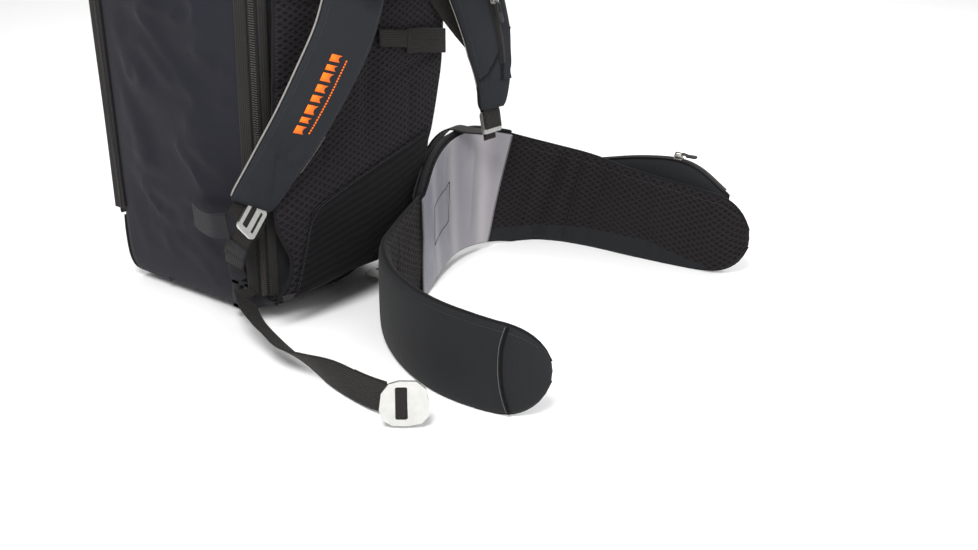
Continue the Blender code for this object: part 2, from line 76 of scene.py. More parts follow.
# ------------------------------------------------------------------ materials
class Look:
    """Principled material with small helpers for its procedural patterns."""

    def __init__(self, name, colour, rough, metallic=0.0, sheen=0.0, specular=0.4):
        self.mat = bpy.data.materials.new(name)
        self.mat.use_nodes = True
        self.tree = self.mat.node_tree
        self.shader = self.tree.nodes["Principled BSDF"]
        for socket, value in (("Base Color", (*colour, 1)), ("Roughness", rough), ("Metallic", metallic),
                              ("Sheen Weight", sheen), ("Specular IOR Level", specular)):
            self.shader.inputs[socket].default_value = value
        self.mat.diffuse_color = (*colour, 1)

    def node(self, kind, **links):
        made = self.tree.nodes.new(kind)
        for key, value in links.items():
            self.feed(made.inputs[key], value)
        return made

    def feed(self, socket, value):
        if isinstance(value, bpy.types.NodeSocket):
            self.tree.links.new(value, socket)
        else:
            socket.default_value = value

    def math(self, operation, a, b=0.0):
        made = self.tree.nodes.new("ShaderNodeMath")
        made.operation = operation
        self.feed(made.inputs[0], a)
        self.feed(made.inputs[1], b)
        return made.outputs[0]

    def mul(self, a, b):
        return self.math("MULTIPLY", a, b)

    def add(self, a, b):
        return self.math("ADD", a, b)

    def uv(self):
        where = self.tree.nodes.new("ShaderNodeUVMap")
        split = self.node("ShaderNodeSeparateXYZ", Vector=where.outputs[0])
        return split.outputs[0], split.outputs[1]

    def place(self):
        return self.tree.nodes.new("ShaderNodeTexCoord").outputs["Object"]

    def noise(self, scale, detail=3.0, vector=None):
        made = self.node("ShaderNodeTexNoise", Vector=vector or self.place(), Scale=scale,
                         Detail=detail)
        return made.outputs["Fac"]

    def mix(self, fac, low, high):
        """Colour that goes from low to high as fac goes from 0 to 1."""
        made = self.tree.nodes.new("ShaderNodeMix")
        made.data_type = "RGBA"
        made.clamp_factor = True
        self.feed(made.inputs[0], fac)
        for socket, colour in ((made.inputs[6], low), (made.inputs[7], high)):
            self.feed(socket, colour if isinstance(colour, bpy.types.NodeSocket) else (*colour, 1))
        return made.outputs[2]

    def paint(self, colour):
        self.feed(self.shader.inputs["Base Color"], colour)

    def rough(self, fac, low, high):
        span = self.tree.nodes.new("ShaderNodeMapRange")
        self.feed(span.inputs[0], fac)
        span.inputs[3].default_value = low
        span.inputs[4].default_value = high
        self.tree.links.new(span.outputs[0], self.shader.inputs["Roughness"])

    def bump(self, *layers):
        """Each layer is (height socket, distance in metres, strength)."""
        normal = None
        for height, distance, strength in layers:
            made = self.node("ShaderNodeBump", Height=height, Distance=distance, Strength=strength)
            if normal:
                self.tree.links.new(normal, made.inputs["Normal"])
            normal = made.outputs[0]
        self.tree.links.new(normal, self.shader.inputs["Normal"])


def times(colour, factor):
    return tuple(min(1.0, c * factor) for c in colour)


def cosine(look, value, pitch):
    """Cosine from 0 to 1 along a length in metres."""
    angle = look.mul(value, 2 * math.pi / pitch)
    return look.mul(look.add(look.math("COSINE", angle), 1.0), 0.5)


def woven(name, colour, rough=0.75, pitch=0.0011, crease=0.0012, vary=0.35):
    """Plain-weave cloth: crossing yarns, soft creases and slow colour changes."""
    look = Look(name, colour, rough, sheen=0.04, specular=0.12)
    u, v = look.uv()
    cloth = look.mul(cosine(look, u, pitch), cosine(look, v, pitch))
    shade = look.mix(look.noise(9.0, 4.0), times(colour, 1 - vary), times(colour, 1 + vary))
    look.paint(look.mix(look.mul(cloth, 0.45), shade, times(colour, 2.2)))
    look.rough(look.noise(900.0, 2.0), rough - 0.1, min(1.0, rough + 0.12))
    look.bump((look.noise(38.0, 5.0), crease, 0.55), (cloth, 0.00012, 0.7))
    return look.mat


def diamond_mesh(name, dark, light, pitch, upright):
    """Spacer mesh: wide lozenges with small holes between their knitted walls.

    upright says that the piece runs upwards, so its lozenges lie across it.
    """
    look = Look(name, dark, 0.85, sheen=0.03, specular=0.1)
    u, v = look.uv()
    short, long = (u, v) if upright else (v, u)
    short = look.add(short, look.mul(look.noise(16.0, 2.0), 0.006))
    one = cosine(look, look.add(short, look.mul(long, 0.6)), pitch)
    two = cosine(look, look.math("SUBTRACT", short, look.mul(long, 0.6)), pitch)
    lattice = look.math("MAXIMUM", one, two)
    holes = look.mul(cosine(look, u, 0.0017), cosine(look, v, 0.0021))
    spots = look.math("POWER", lattice, 2.2)
    ground = look.mix(look.noise(11.0, 3.0), times(dark, 0.7), times(dark, 1.3))
    thread = look.mix(look.mul(spots, 0.62), ground, light)
    look.paint(look.mix(look.mul(holes, 0.5), thread, times(dark, 0.35)))
    look.bump((look.noise(24.0, 4.0), 0.001, 0.4), (lattice, 0.0016, 0.75), (holes, 0.0003, 0.5))
    return look.mat


def ribbed(name, dark, light):
    """Knitted panel with soft ribs across it."""
    look = Look(name, dark, 0.85, sheen=0.03, specular=0.1)
    u, v = look.uv()
    bent = look.add(u, look.mul(look.noise(14.0, 2.0), 0.01))
    ribs = cosine(look, bent, 0.009)
    knit = look.mul(cosine(look, u, 0.0019), cosine(look, v, 0.0014))
    tone = look.mix(look.mul(ribs, 0.6), dark, light)
    look.paint(look.mix(look.mul(knit, 0.4), tone, times(dark, 0.5)))
    look.bump((ribs, 0.0014, 0.6), (knit, 0.0003, 0.6))
    return look.mat


def webbing_look(name, colour, rough=0.6):
    """Flat webbing: ribs along its length crossed by tight picks, with a selvedge."""
    look = Look(name, colour, rough, sheen=0.03, specular=0.14)
    u, v = look.uv()
    ribs = cosine(look, v, 0.0023)
    picks = cosine(look, look.add(u, look.mul(ribs, 0.0004)), 0.0013)
    cloth = look.mul(ribs, picks)
    ground = look.mix(look.noise(16.0, 3.0), times(colour, 0.7), times(colour, 1.35))
    look.paint(look.mix(look.mul(cloth, 0.5), ground, times(colour, 2.4)))
    look.rough(cloth, rough + 0.1, rough - 0.12)
    look.bump((ribs, 0.0005, 0.6), (picks, 0.00025, 0.6))
    return look.mat


def satin(name, colour, light):
    """Satin nylon whose colour carries painted sheen: soft vertical stripes of painted highlight and a
    painted lightening along the piece; light is the sheen's colour.
    """
    look = Look(name, colour, 0.42, sheen=0.1, specular=0.3)
    u, v = look.uv()
    drift = look.add(u, look.mul(look.noise(10.0, 3.0), 0.02))
    leaning = look.add(drift, look.mul(v, 0.22))
    # Painted sheen: soft vertical stripes of highlight in the colour.
    painted_sheen_bands = look.math("POWER", cosine(look, leaning, 0.058), 3.0)
    cloth = look.mul(cosine(look, u, 0.001), cosine(look, v, 0.001))
    # ahead paints the colour lighter further along the piece: painted light.
    ahead = look.mul(look.math("SUBTRACT", leaning, 0.06), 4.0)
    tone = look.mix(look.add(look.mul(painted_sheen_bands, 0.45), ahead), colour, light)
    look.paint(look.mix(look.mul(cloth, 0.25), tone, times(light, 1.1)))
    look.rough(look.noise(30.0, 4.0), 0.34, 0.55)
    look.bump((look.noise(26.0, 4.0), 0.0016, 0.6), (cloth, 0.0001, 0.5))
    return look.mat


def metal(name, colour, rough, brushed=True):
    """Metal with drawn-out grain, or an even one where it is blasted."""
    look = Look(name, colour, rough, metallic=1.0, specular=0.5)
    stretch = look.node("ShaderNodeVectorMath")
    stretch.operation = "MULTIPLY"
    look.feed(stretch.inputs[0], look.place())
    stretch.inputs[1].default_value = (40.0, 900.0, 40.0) if brushed else (300.0, 300.0, 300.0)
    grain = look.node("ShaderNodeTexNoise", Vector=stretch.outputs[0], Scale=1.0, Detail=3.0)
    look.paint(look.mix(look.noise(120.0, 5.0), times(colour, 0.82), times(colour, 1.1)))
    look.rough(grain.outputs["Fac"], rough - 0.08, rough + 0.14)
    look.bump((grain.outputs["Fac"], 0.00006, 0.4))
    return look.mat


def moulded(name, colour, rough=0.5):
    """Moulded plastic or rubber with a fine spark-eroded grain."""
    look = Look(name, colour, rough, specular=0.3)
    wear = look.noise(60.0, 5.0)
    look.paint(look.mix(wear, times(colour, 0.8), times(colour, 1.25)))
    look.rough(wear, rough - 0.06, rough + 0.12)
    look.bump((look.noise(1800.0, 2.0), 0.00006, 0.5))
    return look.mat


NAVY = woven("navy_nylon", (0.0095, 0.0095, 0.014), 0.72)
CHARCOAL = woven("charcoal_softshell", (0.0115, 0.013, 0.0158), 0.78, pitch=0.0009, crease=0.0009)
BELT_OUTER = woven("belt_softshell", (0.0105, 0.011, 0.0122), 0.8, pitch=0.001, crease=0.001)
LINING = woven("inner_lining", (0.03, 0.031, 0.035), 0.7, pitch=0.0014)
BACK_MESH = diamond_mesh("back_mesh", (0.0056, 0.0047, 0.0056), (0.024, 0.021, 0.024), 0.0068, True)
WING_MESH = diamond_mesh("wing_mesh", (0.006, 0.005, 0.0056), (0.023, 0.02, 0.022), 0.0066, False)
# Ribbed lumbar knit with both colours darkened to near black: painted shade.
LUMBAR_RIB_PAINTED_SHADE = ribbed("lumbar_rib_painted_shade", (0.0026, 0.0022, 0.0027), (0.0085, 0.0078, 0.009))
WEBBING = webbing_look("webbing_black", (0.0105, 0.0092, 0.0084))
TAB = webbing_look("webbing_tab", (0.0115, 0.0115, 0.0135), 0.7)
ZIP_TAPE = webbing_look("zip_tape_cloth", (0.013, 0.012, 0.0112), 0.7)
BINDING = woven("binding_tape", (0.005, 0.005, 0.0058), 0.7, pitch=0.0016)
SEAM_PALE = woven("seam_pale", (0.1, 0.096, 0.092), 0.7, pitch=0.0016)
# Near-black cloth for the belt's slit: painted shadow.
PAINTED_SHADOW_GAP = woven("shadow_gap", (0.0018, 0.0018, 0.002), 0.9, pitch=0.0016)
HEM = woven("hem_band", (0.024, 0.022, 0.023), 0.7, pitch=0.0016)
PIPING = woven("piping_grey", (0.2, 0.19, 0.178), 0.6, pitch=0.0015, crease=0.0003)
# Grey satin; its second colour is the painted sheen.
GREY = satin("grey_satin", (0.125, 0.125, 0.152), (0.33, 0.312, 0.325))
ORANGE = woven("airbag_orange_cloth", (0.62, 0.085, 0.01), 0.6, vary=0.12)
PRINT = woven("print_orange", (0.78, 0.1, 0.008), 0.6, vary=0.05, crease=0.0002)
THREAD = moulded("thread_dark", (0.03, 0.03, 0.036), 0.6)
THREAD_GREY = moulded("thread_grey", (0.021, 0.021, 0.024), 0.7)
ALUMINIUM = metal("aluminium_blasted", (0.6, 0.6, 0.575), 0.36, False)
STEEL = metal("steel_dull", (0.35, 0.34, 0.32), 0.36)
BRASS = metal("brass_turned", (0.7, 0.5, 0.2), 0.28)
CARTRIDGE = metal("cartridge_steel", (0.56, 0.57, 0.58), 0.3)
PLASTIC = moulded("acetal_black", (0.012, 0.012, 0.013), 0.42)
COIL = moulded("zip_coil", (0.034, 0.03, 0.027), 0.36)
GRIP = moulded("grip_orange", (0.85, 0.14, 0.02), 0.45)
BEAD = moulded("bead_white", (0.72, 0.72, 0.7), 0.35)
CABLE = moulded("cable_sheath", (0.016, 0.016, 0.017), 0.5)
NYLON_PANEL = [NAVY, LINING, BINDING]           # looks of a Slab's front, back and edge
SHELL_PANEL = [BELT_OUTER, LINING, BINDING]


# ------------------------------------------------------------------ shape helpers
BRICK_UP = np.array(((1, 0, 0), (0, 0, 1), (0, 1, 0)))
BRICK_SIDE = np.array(((0, 0, 1), (1, 0, 0), (0, 1, 0)))
BRICK_ACROSS = np.array(((0, 1, 0), (1, 0, 0), (0, 0, -1)))


def ramp(value, width):
    """Rises from 0 to 1 as value goes from 0 to width."""
    return (value / width).clip(0, 1)


def mirrored(half):
    """Route from -X to +X, from its points on the +X side; the last lies in the middle."""
    return [(-x, y, z) for x, y, z in half] + [(x, y, z) for x, y, z in half[-2::-1]]


def axes(n, m):
    """A column of n shares from 0 to 1 and a row of m from -1 to 1."""
    return np.linspace(0, 1, n)[:, None], np.linspace(-1, 1, m)[None, :]


def ruled(points, half):
    """Rows for band_grid that all have one half-width vector."""
    return np.concatenate([points, np.broadcast_to(half, points.shape)], axis=1)


def spread(points, count, per_span=14):
    """count rows, evenly spaced, on a smooth curve through rows of given numbers."""
    rows = np.array(points, float)
    ends = np.vstack([2 * rows[0] - rows[1], rows, 2 * rows[-1] - rows[-2]])
    fine = []
    for i in range(1, len(ends) - 2):
        a, b, c, d = ends[i - 1:i + 3]
        for t in np.linspace(0, 1, per_span, endpoint=False):
            fine.append(0.5 * (2 * b + (c - a) * t + (2 * a - 5 * b + 4 * c - d) * t * t
                               + (3 * b - a - 3 * c + d) * t ** 3))
    fine = np.array(fine + [rows[-1]])
    run = np.r_[0, np.cumsum(np.linalg.norm(np.diff(fine[:, :3], axis=0), axis=1))]
    even = np.linspace(0, run[-1], count)
    return np.stack([np.interp(even, run, fine[:, k]) for k in range(fine.shape[1])], axis=1)


def unit(vectors):
    return vectors / np.maximum(np.linalg.norm(vectors, axis=-1, keepdims=True), 1e-9)


def bell(value, centre, width):
    return np.exp(-((value - centre) / width) ** 2)


def rough_at(points, scale, seed=0.0, stretch=(1, 1, 1)):
    """Smooth noise from -1 to 1 at each point of a grid."""
    flat = points.reshape(-1, 3) * np.array(stretch) / scale + seed
    return np.array([noise.noise(Vector(p)) for p in flat]).reshape(points.shape[:-1])


def creases(points, scale, seed=0.0, stretch=(1, 1, 1)):
    """Sharp-crested folds from 0 to 1."""
    return (1 - np.abs(rough_at(points, scale, seed, stretch)) * 2.2).clip(0, 1) ** 2


class Slab:
    """Closed soft piece: a grid of middle points given a thickness, rounded at its edges.

    looks are for its front, back and edge; dent moves the front, and the back where it must.
    """

    def __init__(self, name, centre, thick, looks, dent=None, body="pack", flip=False,
                 slot="strap_fabric", round_edge=0.75):
        n, m, _ = centre.shape
        self.n, self.m = n, m
        thick = np.broadcast_to(thick, (n, m))
        normal = unit(np.cross(*np.gradient(centre, axis=(0, 1)))) * (-1 if flip else 1)
        front = centre + normal * (thick / 2)[..., None]
        back = centre - normal * (thick / 2)[..., None]
        if dent is not None:
            front = front + normal * dent[..., None]
            back = back + normal * np.minimum(dent + 0.5 * thick, 0)[..., None]
        loop = ([(i, 0) for i in range(n)] + [(n - 1, j) for j in range(1, m)]
                + [(i, m - 1) for i in range(n - 2, -1, -1)] + [(0, j) for j in range(m - 2, 0, -1)])
        rim = []
        for i, j in loop:
            away = unit(centre[i, j] - centre[min(max(i, 1), n - 2), min(max(j, 1), m - 2)])
            rim.append(centre[i, j] + away * thick[i, j] / 2 * round_edge)
        run_u = np.cumsum(np.r_[0, np.linalg.norm(np.diff(centre[:, m // 2], axis=0), axis=1)])
        steps = np.linalg.norm(np.diff(centre, axis=1), axis=2)
        run_v = np.concatenate([np.zeros((n, 1)), np.cumsum(steps, axis=1)], axis=1)
        run_v = run_v - run_v[:, m // 2][:, None]
        plan = np.stack([np.broadcast_to(run_u[:, None], (n, m)), run_v], axis=2)
        verts = np.concatenate([front.reshape(-1, 3), back.reshape(-1, 3), np.array(rim)])
        uvs = np.concatenate([plan.reshape(-1, 2), plan.reshape(-1, 2),
                              np.array([plan[i, j] for i, j in loop]) + 0.0015])
        faces, slots, k = [], [], n * m
        for i in range(n - 1):
            for j in range(m - 1):
                a, b = i * m + j, (i + 1) * m + j
                faces += [(a, b, b + 1, a + 1), (a + 1 + k, b + 1 + k, b + k, a + k)]
                slots += [0, 1]
        for q in range(len(loop)):
            r = (q + 1) % len(loop)
            f0, f1 = (i * m + j for i, j in (loop[q], loop[r]))
            g0, g1 = 2 * k + q, 2 * k + r
            faces += [(f1, f0, g0, g1), (g1, g0, f0 + k, f1 + k)]
            slots += [2, 2]
        if flip:
            faces = [face[::-1] for face in faces]
        data = bpy.data.meshes.new(name)
        data.from_pydata([tuple(v) for v in verts], [], faces)
        layer = data.uv_layers.new(name="UVMap")
        ids = np.zeros(len(data.loops), int)
        data.loops.foreach_get("vertex_index", ids)
        layer.data.foreach_set("uv", uvs[ids].ravel())
        for look in (looks + [looks[-1]] * 2)[:3]:
            data.materials.append(look)
        data.polygons.foreach_set("material_index", slots)
        data.polygons.foreach_set("use_smooth", [True] * len(faces))
        self.obj = bpy.data.objects.new(name, data)
        bpy.context.scene.collection.objects.link(self.obj)
        self.read()
        if body:
            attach(self.obj, body)

    def read(self):
        """Front face's grid of points and normals, from the mesh as it is now."""
        verts = np.zeros(len(self.obj.data.vertices) * 3)
        self.obj.data.vertices.foreach_get("co", verts)
        verts = verts.reshape(-1, 3)
        self.front = verts[:self.n * self.m].reshape(self.n, self.m, 3)
        self.back = verts[self.n * self.m:2 * self.n * self.m].reshape(self.n, self.m, 3)
        self.normal = unit(self.front - self.back)
        return self

    def at(self, s, t, lift=0.0, side="front"):
        """Point on the piece; s runs 0 to 1 along it and t runs -1 to 1 across it."""
        x = min(max(s, 0), 1) * (self.n - 1)
        y = (min(max(t, -1), 1) + 1) / 2 * (self.m - 1)
        i, j = min(int(x), self.n - 2), min(int(y), self.m - 2)
        p, q = x - i, y - j
        grid = self.front if side == "front" else self.back
        weights = ((i, j, (1 - p) * (1 - q)), (i + 1, j, p * (1 - q)), (i, j + 1, (1 - p) * q),
                   (i + 1, j + 1, p * q))
        point = sum(grid[a, b] * w for a, b, w in weights)
        normal = unit(sum(self.normal[a, b] * w for a, b, w in weights))
        return point + normal * lift * (1 if side == "front" else -1), normal

    def trace(self, pairs, lift=0.0, count=60, side="front"):
        """Points and normals along a line drawn on the piece through (s, t) pairs."""
        line = spread([(s, t, 0) for s, t in pairs], count, 10)
        found = [self.at(s, t, lift, side) for s, t, _ in line]
        return np.array([f[0] for f in found]), np.array([f[1] for f in found])


def puff(slab, pressure, cap, held, frames, tension, bending):
    """Lets the piece swell as cloth, up to cap; held is each vertex's pinned share."""
    obj = slab.obj
    parent, matrix = obj.parent, obj.matrix_world.copy()
    obj.parent = None
    obj.matrix_world = matrix
    before = np.array([v.co[:] for v in obj.data.vertices])
    cloth = obj.modifiers.new("Cloth", "CLOTH")
    for key, value in (("quality", 5), ("mass", 0.3), ("tension_stiffness", tension),
                       ("compression_stiffness", tension), ("bending_stiffness", bending),
                       ("use_pressure", True), ("uniform_pressure_force", pressure)):
        setattr(cloth.settings, key, value)
    cloth.settings.effector_weights.gravity = 0
    cloth.collision_settings.use_collision = False
    group = obj.vertex_groups.new(name="held")
    for index, weight in enumerate(held):
        if weight > 0.01:
            group.add([index], float(weight), "REPLACE")
    cloth.settings.vertex_group_mass = "held"
    cloth.point_cache.frame_start = 1
    cloth.point_cache.frame_end = frames
    for step in range(1, frames + 1):
        bpy.context.scene.frame_set(step)
    graph = bpy.context.evaluated_depsgraph_get()
    after = np.array([v.co[:] for v in obj.evaluated_get(graph).data.vertices])
    obj.modifiers.remove(cloth)
    bpy.context.scene.frame_set(1)
    move = after - before
    move *= np.minimum(1, cap / np.maximum(np.linalg.norm(move, axis=1, keepdims=True), 1e-9))
    obj.data.vertices.foreach_set("co", (before + move).ravel())
    obj.data.update()
    obj.parent = parent
    obj.matrix_parent_inverse = parent.matrix_world.inverted() if parent else Matrix()
    return slab.read()


def crowned(n, m, middle, edge, power=2.6, ends=(0.06, 0.06)):
    """Thickness over a pad: full in the middle and falling to its edges and ends."""
    s, t = axes(n, m)
    side = (1 - np.abs(t) ** power).clip(0, 1) ** 0.5
    low = ramp(s, ends[0]) if ends[0] else 1
    high = ramp(1 - s, ends[1]) if ends[1] else 1
    end = (1 - (1 - low) ** 2) ** 0.5 * (1 - (1 - high) ** 2) ** 0.5
    return edge + (middle - edge) * side * end


def band_grid(rows, m=7):
    """Grid over a band; each row is centre x, y, z and the half-width vector x, y, z."""
    t = np.linspace(-1, 1, m)[None, :, None]
    return rows[:, None, :3] + t * rows[:, None, 3:6]


def aimed(points, widths, normal):
    """Rows for band_grid whose face looks along normal; widths are given at each point."""
    across = unit(np.cross(np.gradient(points, axis=0), np.broadcast_to(normal, points.shape)))
    width = np.interp(np.linspace(0, 1, len(points)), np.linspace(0, 1, len(widths)), widths)
    return np.concatenate([points, across * width[:, None] / 2], axis=1)


def mesh_object(name, verts, faces, look, body, smooth=True):
    data = bpy.data.meshes.new(name)
    data.from_pydata([tuple(v) for v in verts], [], faces)
    data.materials.append(look)
    data.polygons.foreach_set("use_smooth", [smooth] * len(faces))
    obj = bpy.data.objects.new(name, data)
    bpy.context.scene.collection.objects.link(obj)
    if body:
        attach(obj, body)
    return obj


def rope(name, points, radius, look, body, sides=8):
    """Round cord, piping or wire along points."""
    points = np.array(points, float)
    count = len(points)
    ahead = unit(np.gradient(points, axis=0))
    side = unit(np.cross(ahead[0], (0.31, 0.17, 0.93)))
    verts = []
    for i in range(count):
        side = unit(side - ahead[i] * np.dot(side, ahead[i]))
        up = np.cross(ahead[i], side)
        for k in range(sides):
            a = 2 * math.pi * k / sides
            verts.append(points[i] + radius * (math.cos(a) * side + math.sin(a) * up))
    faces = []
    for i in range(count - 1):
        for k in range(sides):
            a, b = i * sides + k, i * sides + (k + 1) % sides
            faces.append((a, b, b + sides, a + sides))
    faces.append(tuple(range(sides - 1, -1, -1)))
    faces.append(tuple((count - 1) * sides + k for k in range(sides)))
    obj = mesh_object(name, verts, faces, look, body)
    obj.data.uv_layers.new(name="UVMap")
    return obj


def scatter(name, shape, frames, look, body, smooth=False):
    """One mesh holding a copy of shape (vertices, faces) at each 3 by 4 frame."""
    base, faces = shape
    base = np.array(base, float)
    verts = np.concatenate([base @ f[:, :3].T + f[:, 3] for f in frames])
    every = [tuple(k * len(base) + i for i in face) for k in range(len(frames)) for face in faces]
    return mesh_object(name, verts, every, look, body, smooth)


def brick(length, width, height, chamfer=0.25):
    """Small block along X with chamfered ends."""
    x, y, z = length / 2, width / 2, height / 2
    c = chamfer * min(width, height)
    ring = [(-y + c, -z), (y - c, -z), (y, -z + c), (y, z - c), (y - c, z), (-y + c, z),
            (-y, z - c), (-y, -z + c)]
    verts = []
    for sx, k in ((-x, 0.75), (-x + c, 1.0), (x - c, 1.0), (x, 0.75)):
        verts += [(sx, a * k, b * k) for a, b in ring]
    faces = [tuple(range(7, -1, -1)), tuple(range(24, 32))]
    for i in range(3):
        for k in range(8):
            l = (k + 1) % 8
            faces.append((i * 8 + k, i * 8 + l, i * 8 + 8 + l, i * 8 + 8 + k))
    return verts, faces


def frames_on(points, normals, pitch, along=True, lift=0.0):
    """Frames every pitch metres along a line, X along it (or across it) and Z along the normal."""
    run = np.r_[0, np.cumsum(np.linalg.norm(np.diff(points, axis=0), axis=1))]
    count = max(int(run[-1] / pitch), 1)
    made = []
    ahead = unit(np.gradient(points, axis=0))
    for d in (np.arange(count) + 0.5) * run[-1] / count:
        p = np.array([np.interp(d, run, points[:, k]) for k in range(3)])
        z = unit(np.array([np.interp(d, run, normals[:, k]) for k in range(3)]))
        x = unit(np.array([np.interp(d, run, ahead[:, k]) for k in range(3)]))
        x = unit(x - z * np.dot(x, z))
        y = np.cross(z, x)
        turn = np.stack([x, y, z], axis=1) if along else np.stack([y, -x, z], axis=1)
        made.append(np.concatenate([turn, (p + z * lift)[:, None]], axis=1))
    return made


def ribbon(name, rows, thick, body="pack", look=WEBBING, m=7, round_edge=0.75, dent=None):
    """Flat webbing over rows of band_grid."""
    return Slab(name, band_grid(rows, m), thick, [look], dent, body, False, "webbing", round_edge)


def drawn(name, slab, pairs, lift, count, radius, look=BINDING, body="pack", sides=8,
          side="front"):
    """Cord laid along a line on a piece."""
    return rope(name, slab.trace(pairs, lift, count, side)[0], radius, look, body, sides)


def stitches(name, slab, pairs, body="pack", count=80, side="front", pitch=0.0034):
    """Row of grey thread along a line on a piece."""
    points, normals = slab.trace(pairs, 0.0001, count, side)
    if side == "back":
        normals = -normals
    return scatter(name, brick(0.0024, 0.0006, 0.0005), frames_on(points, normals, pitch), THREAD_GREY,
                   body)


def edge_rope(name, slab, t, look, body="pack", radius=0.0016, start=0.0, end=1.0, out=0.0015):
    """Piping along one long edge of a pad."""
    line = []
    for s in np.linspace(start, end, 70):
        front, _ = slab.at(s, t)
        back, _ = slab.at(s, t, 0.0, "back")
        inner, _ = slab.at(s, t * 0.9)
        middle = (front + back) / 2
        away = middle - inner
        line.append(middle + unit(away - slab.at(s, t)[1] * np.dot(away, slab.at(s, t)[1])) * out)
    return rope(name, line, radius, look, body)


def join(name, pieces, look, body):
    """One piece from several (vertices, faces) lists that are already in place."""
    verts, faces = [], []
    for v, f in pieces:
        faces += [tuple(i + len(verts) for i in face) for face in f]
        verts += list(v)
    return mesh_object(name, verts, faces, look, body, True)


def placed(shape, centre, turn=np.eye(3)):
    """Vertices and faces of shape, turned and moved to centre."""
    return [tuple(np.array(centre) + turn @ np.array(v)) for v in shape[0]], shape[1]


def soften(obj, width=0.0004):
    edge = obj.modifiers.new("Bevel", "BEVEL")
    edge.width = width
    edge.segments = 2
    edge.limit_method = "ANGLE"
    edge.angle_limit = math.radians(40)
    return obj


def restyle(node, look, width=None):
    """New material, and softened edges, on a CAD node that keeps its shape."""
    obj = frame["nodes"][node]
    obj.data.materials.clear()
    obj.data.materials.append(look)
    if width:
        soften(obj, width)


def slider(name, node, body, centre, turn, pull_look=PLASTIC, pull_length=0.017):
    """Zip slider: flared body with its bridge, a ring and a corded pull."""
    turn = np.array(Euler(turn).to_matrix() if not isinstance(turn, Matrix) else turn)

    def moved(points):
        return [np.array(centre) + turn @ p for p in points]

    plates = []
    for z, wide, long, high in ((-0.0016, 0.0086, 0.0105, 0.0014), (0.0016, 0.008, 0.01, 0.0014),
                                (0.0, 0.0028, 0.0095, 0.003)):
        plates.append(placed(brick(long, wide, high, 0.3), moved([np.array((0, 0, z))])[0],
                             turn @ BRICK_ACROSS))
    made = join(name, plates, STEEL, body)
    soften(made, 0.0003)
    bridge = spread([(0, 0.0042, 0.0022), (0, 0.0034, 0.0046), (0, 0, 0.0052), (0, -0.0034, 0.0046),
                     (0, -0.0042, 0.0022)], 12)
    rope(name + "_bridge", moved(bridge), 0.0009, STEEL, body)
    pull = spread([(0, -0.0036, 0.0046), (0.0016, -0.006, 0.0042), (0.0018, -0.01, 0.0034),
                   (0.001, -pull_length, 0.003), (-0.001, -pull_length, 0.003),
                   (-0.0018, -0.01, 0.0034), (-0.0016, -0.006, 0.0042), (0, -0.0036, 0.0046)], 40)
    rope(name + "_loop", moved(pull), 0.00085, pull_look, body)
    grip = placed(brick(0.0125, 0.006, 0.0034, 0.35),
                  moved([np.array((0, -pull_length - 0.0035, 0.0026))])[0], turn @ BRICK_ACROSS)
    soften(join(name + "_grip", [grip], pull_look, body))
    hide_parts(node)


def zipper(name, points, normals, half_tape, body):
    """Tape with a row of teeth down its middle."""
    across = unit(np.cross(unit(np.gradient(points, axis=0)), normals))
    tape = Slab(name, band_grid(np.concatenate([points, across * half_tape], axis=1)), 0.001, [ZIP_TAPE],
                body=body, slot="zip_tape")
    scatter(name + "_teeth", brick(0.0028, 0.0009, 0.0013, 0.3),
            frames_on(points, normals, 0.00155, False, 0.0008), COIL, body)
    return tape


# ------------------------------------------------------------------ bag
def back_y(z):
    return -0.1068 - 0.06 * z


def side_x(z):
    return 0.112 + 0.02 * z / BAG_TOP


def rise(y):
    """How far the bag's floor curves up towards the lumbar hem."""
    return np.clip(-0.064 - y, 0, None) * 0.48


BAG_HALF = [(0.132, 0.4795), (0.13, 0.42), (0.1272, 0.34), (0.124, 0.26), (0.1205, 0.18),
            (0.1175, 0.1), (0.1155, 0.055), (0.111, 0.022), (0.098, 0.0065), (0.07, 0.003),
            (0.0, 0.003)]


def bag_half(z):
    """Half-width of the bag's rounded outline at height z."""
    line = spread([(x, h, 0) for x, h in BAG_HALF], 200)
    return np.interp(z, line[::-1, 1], line[::-1, 0])


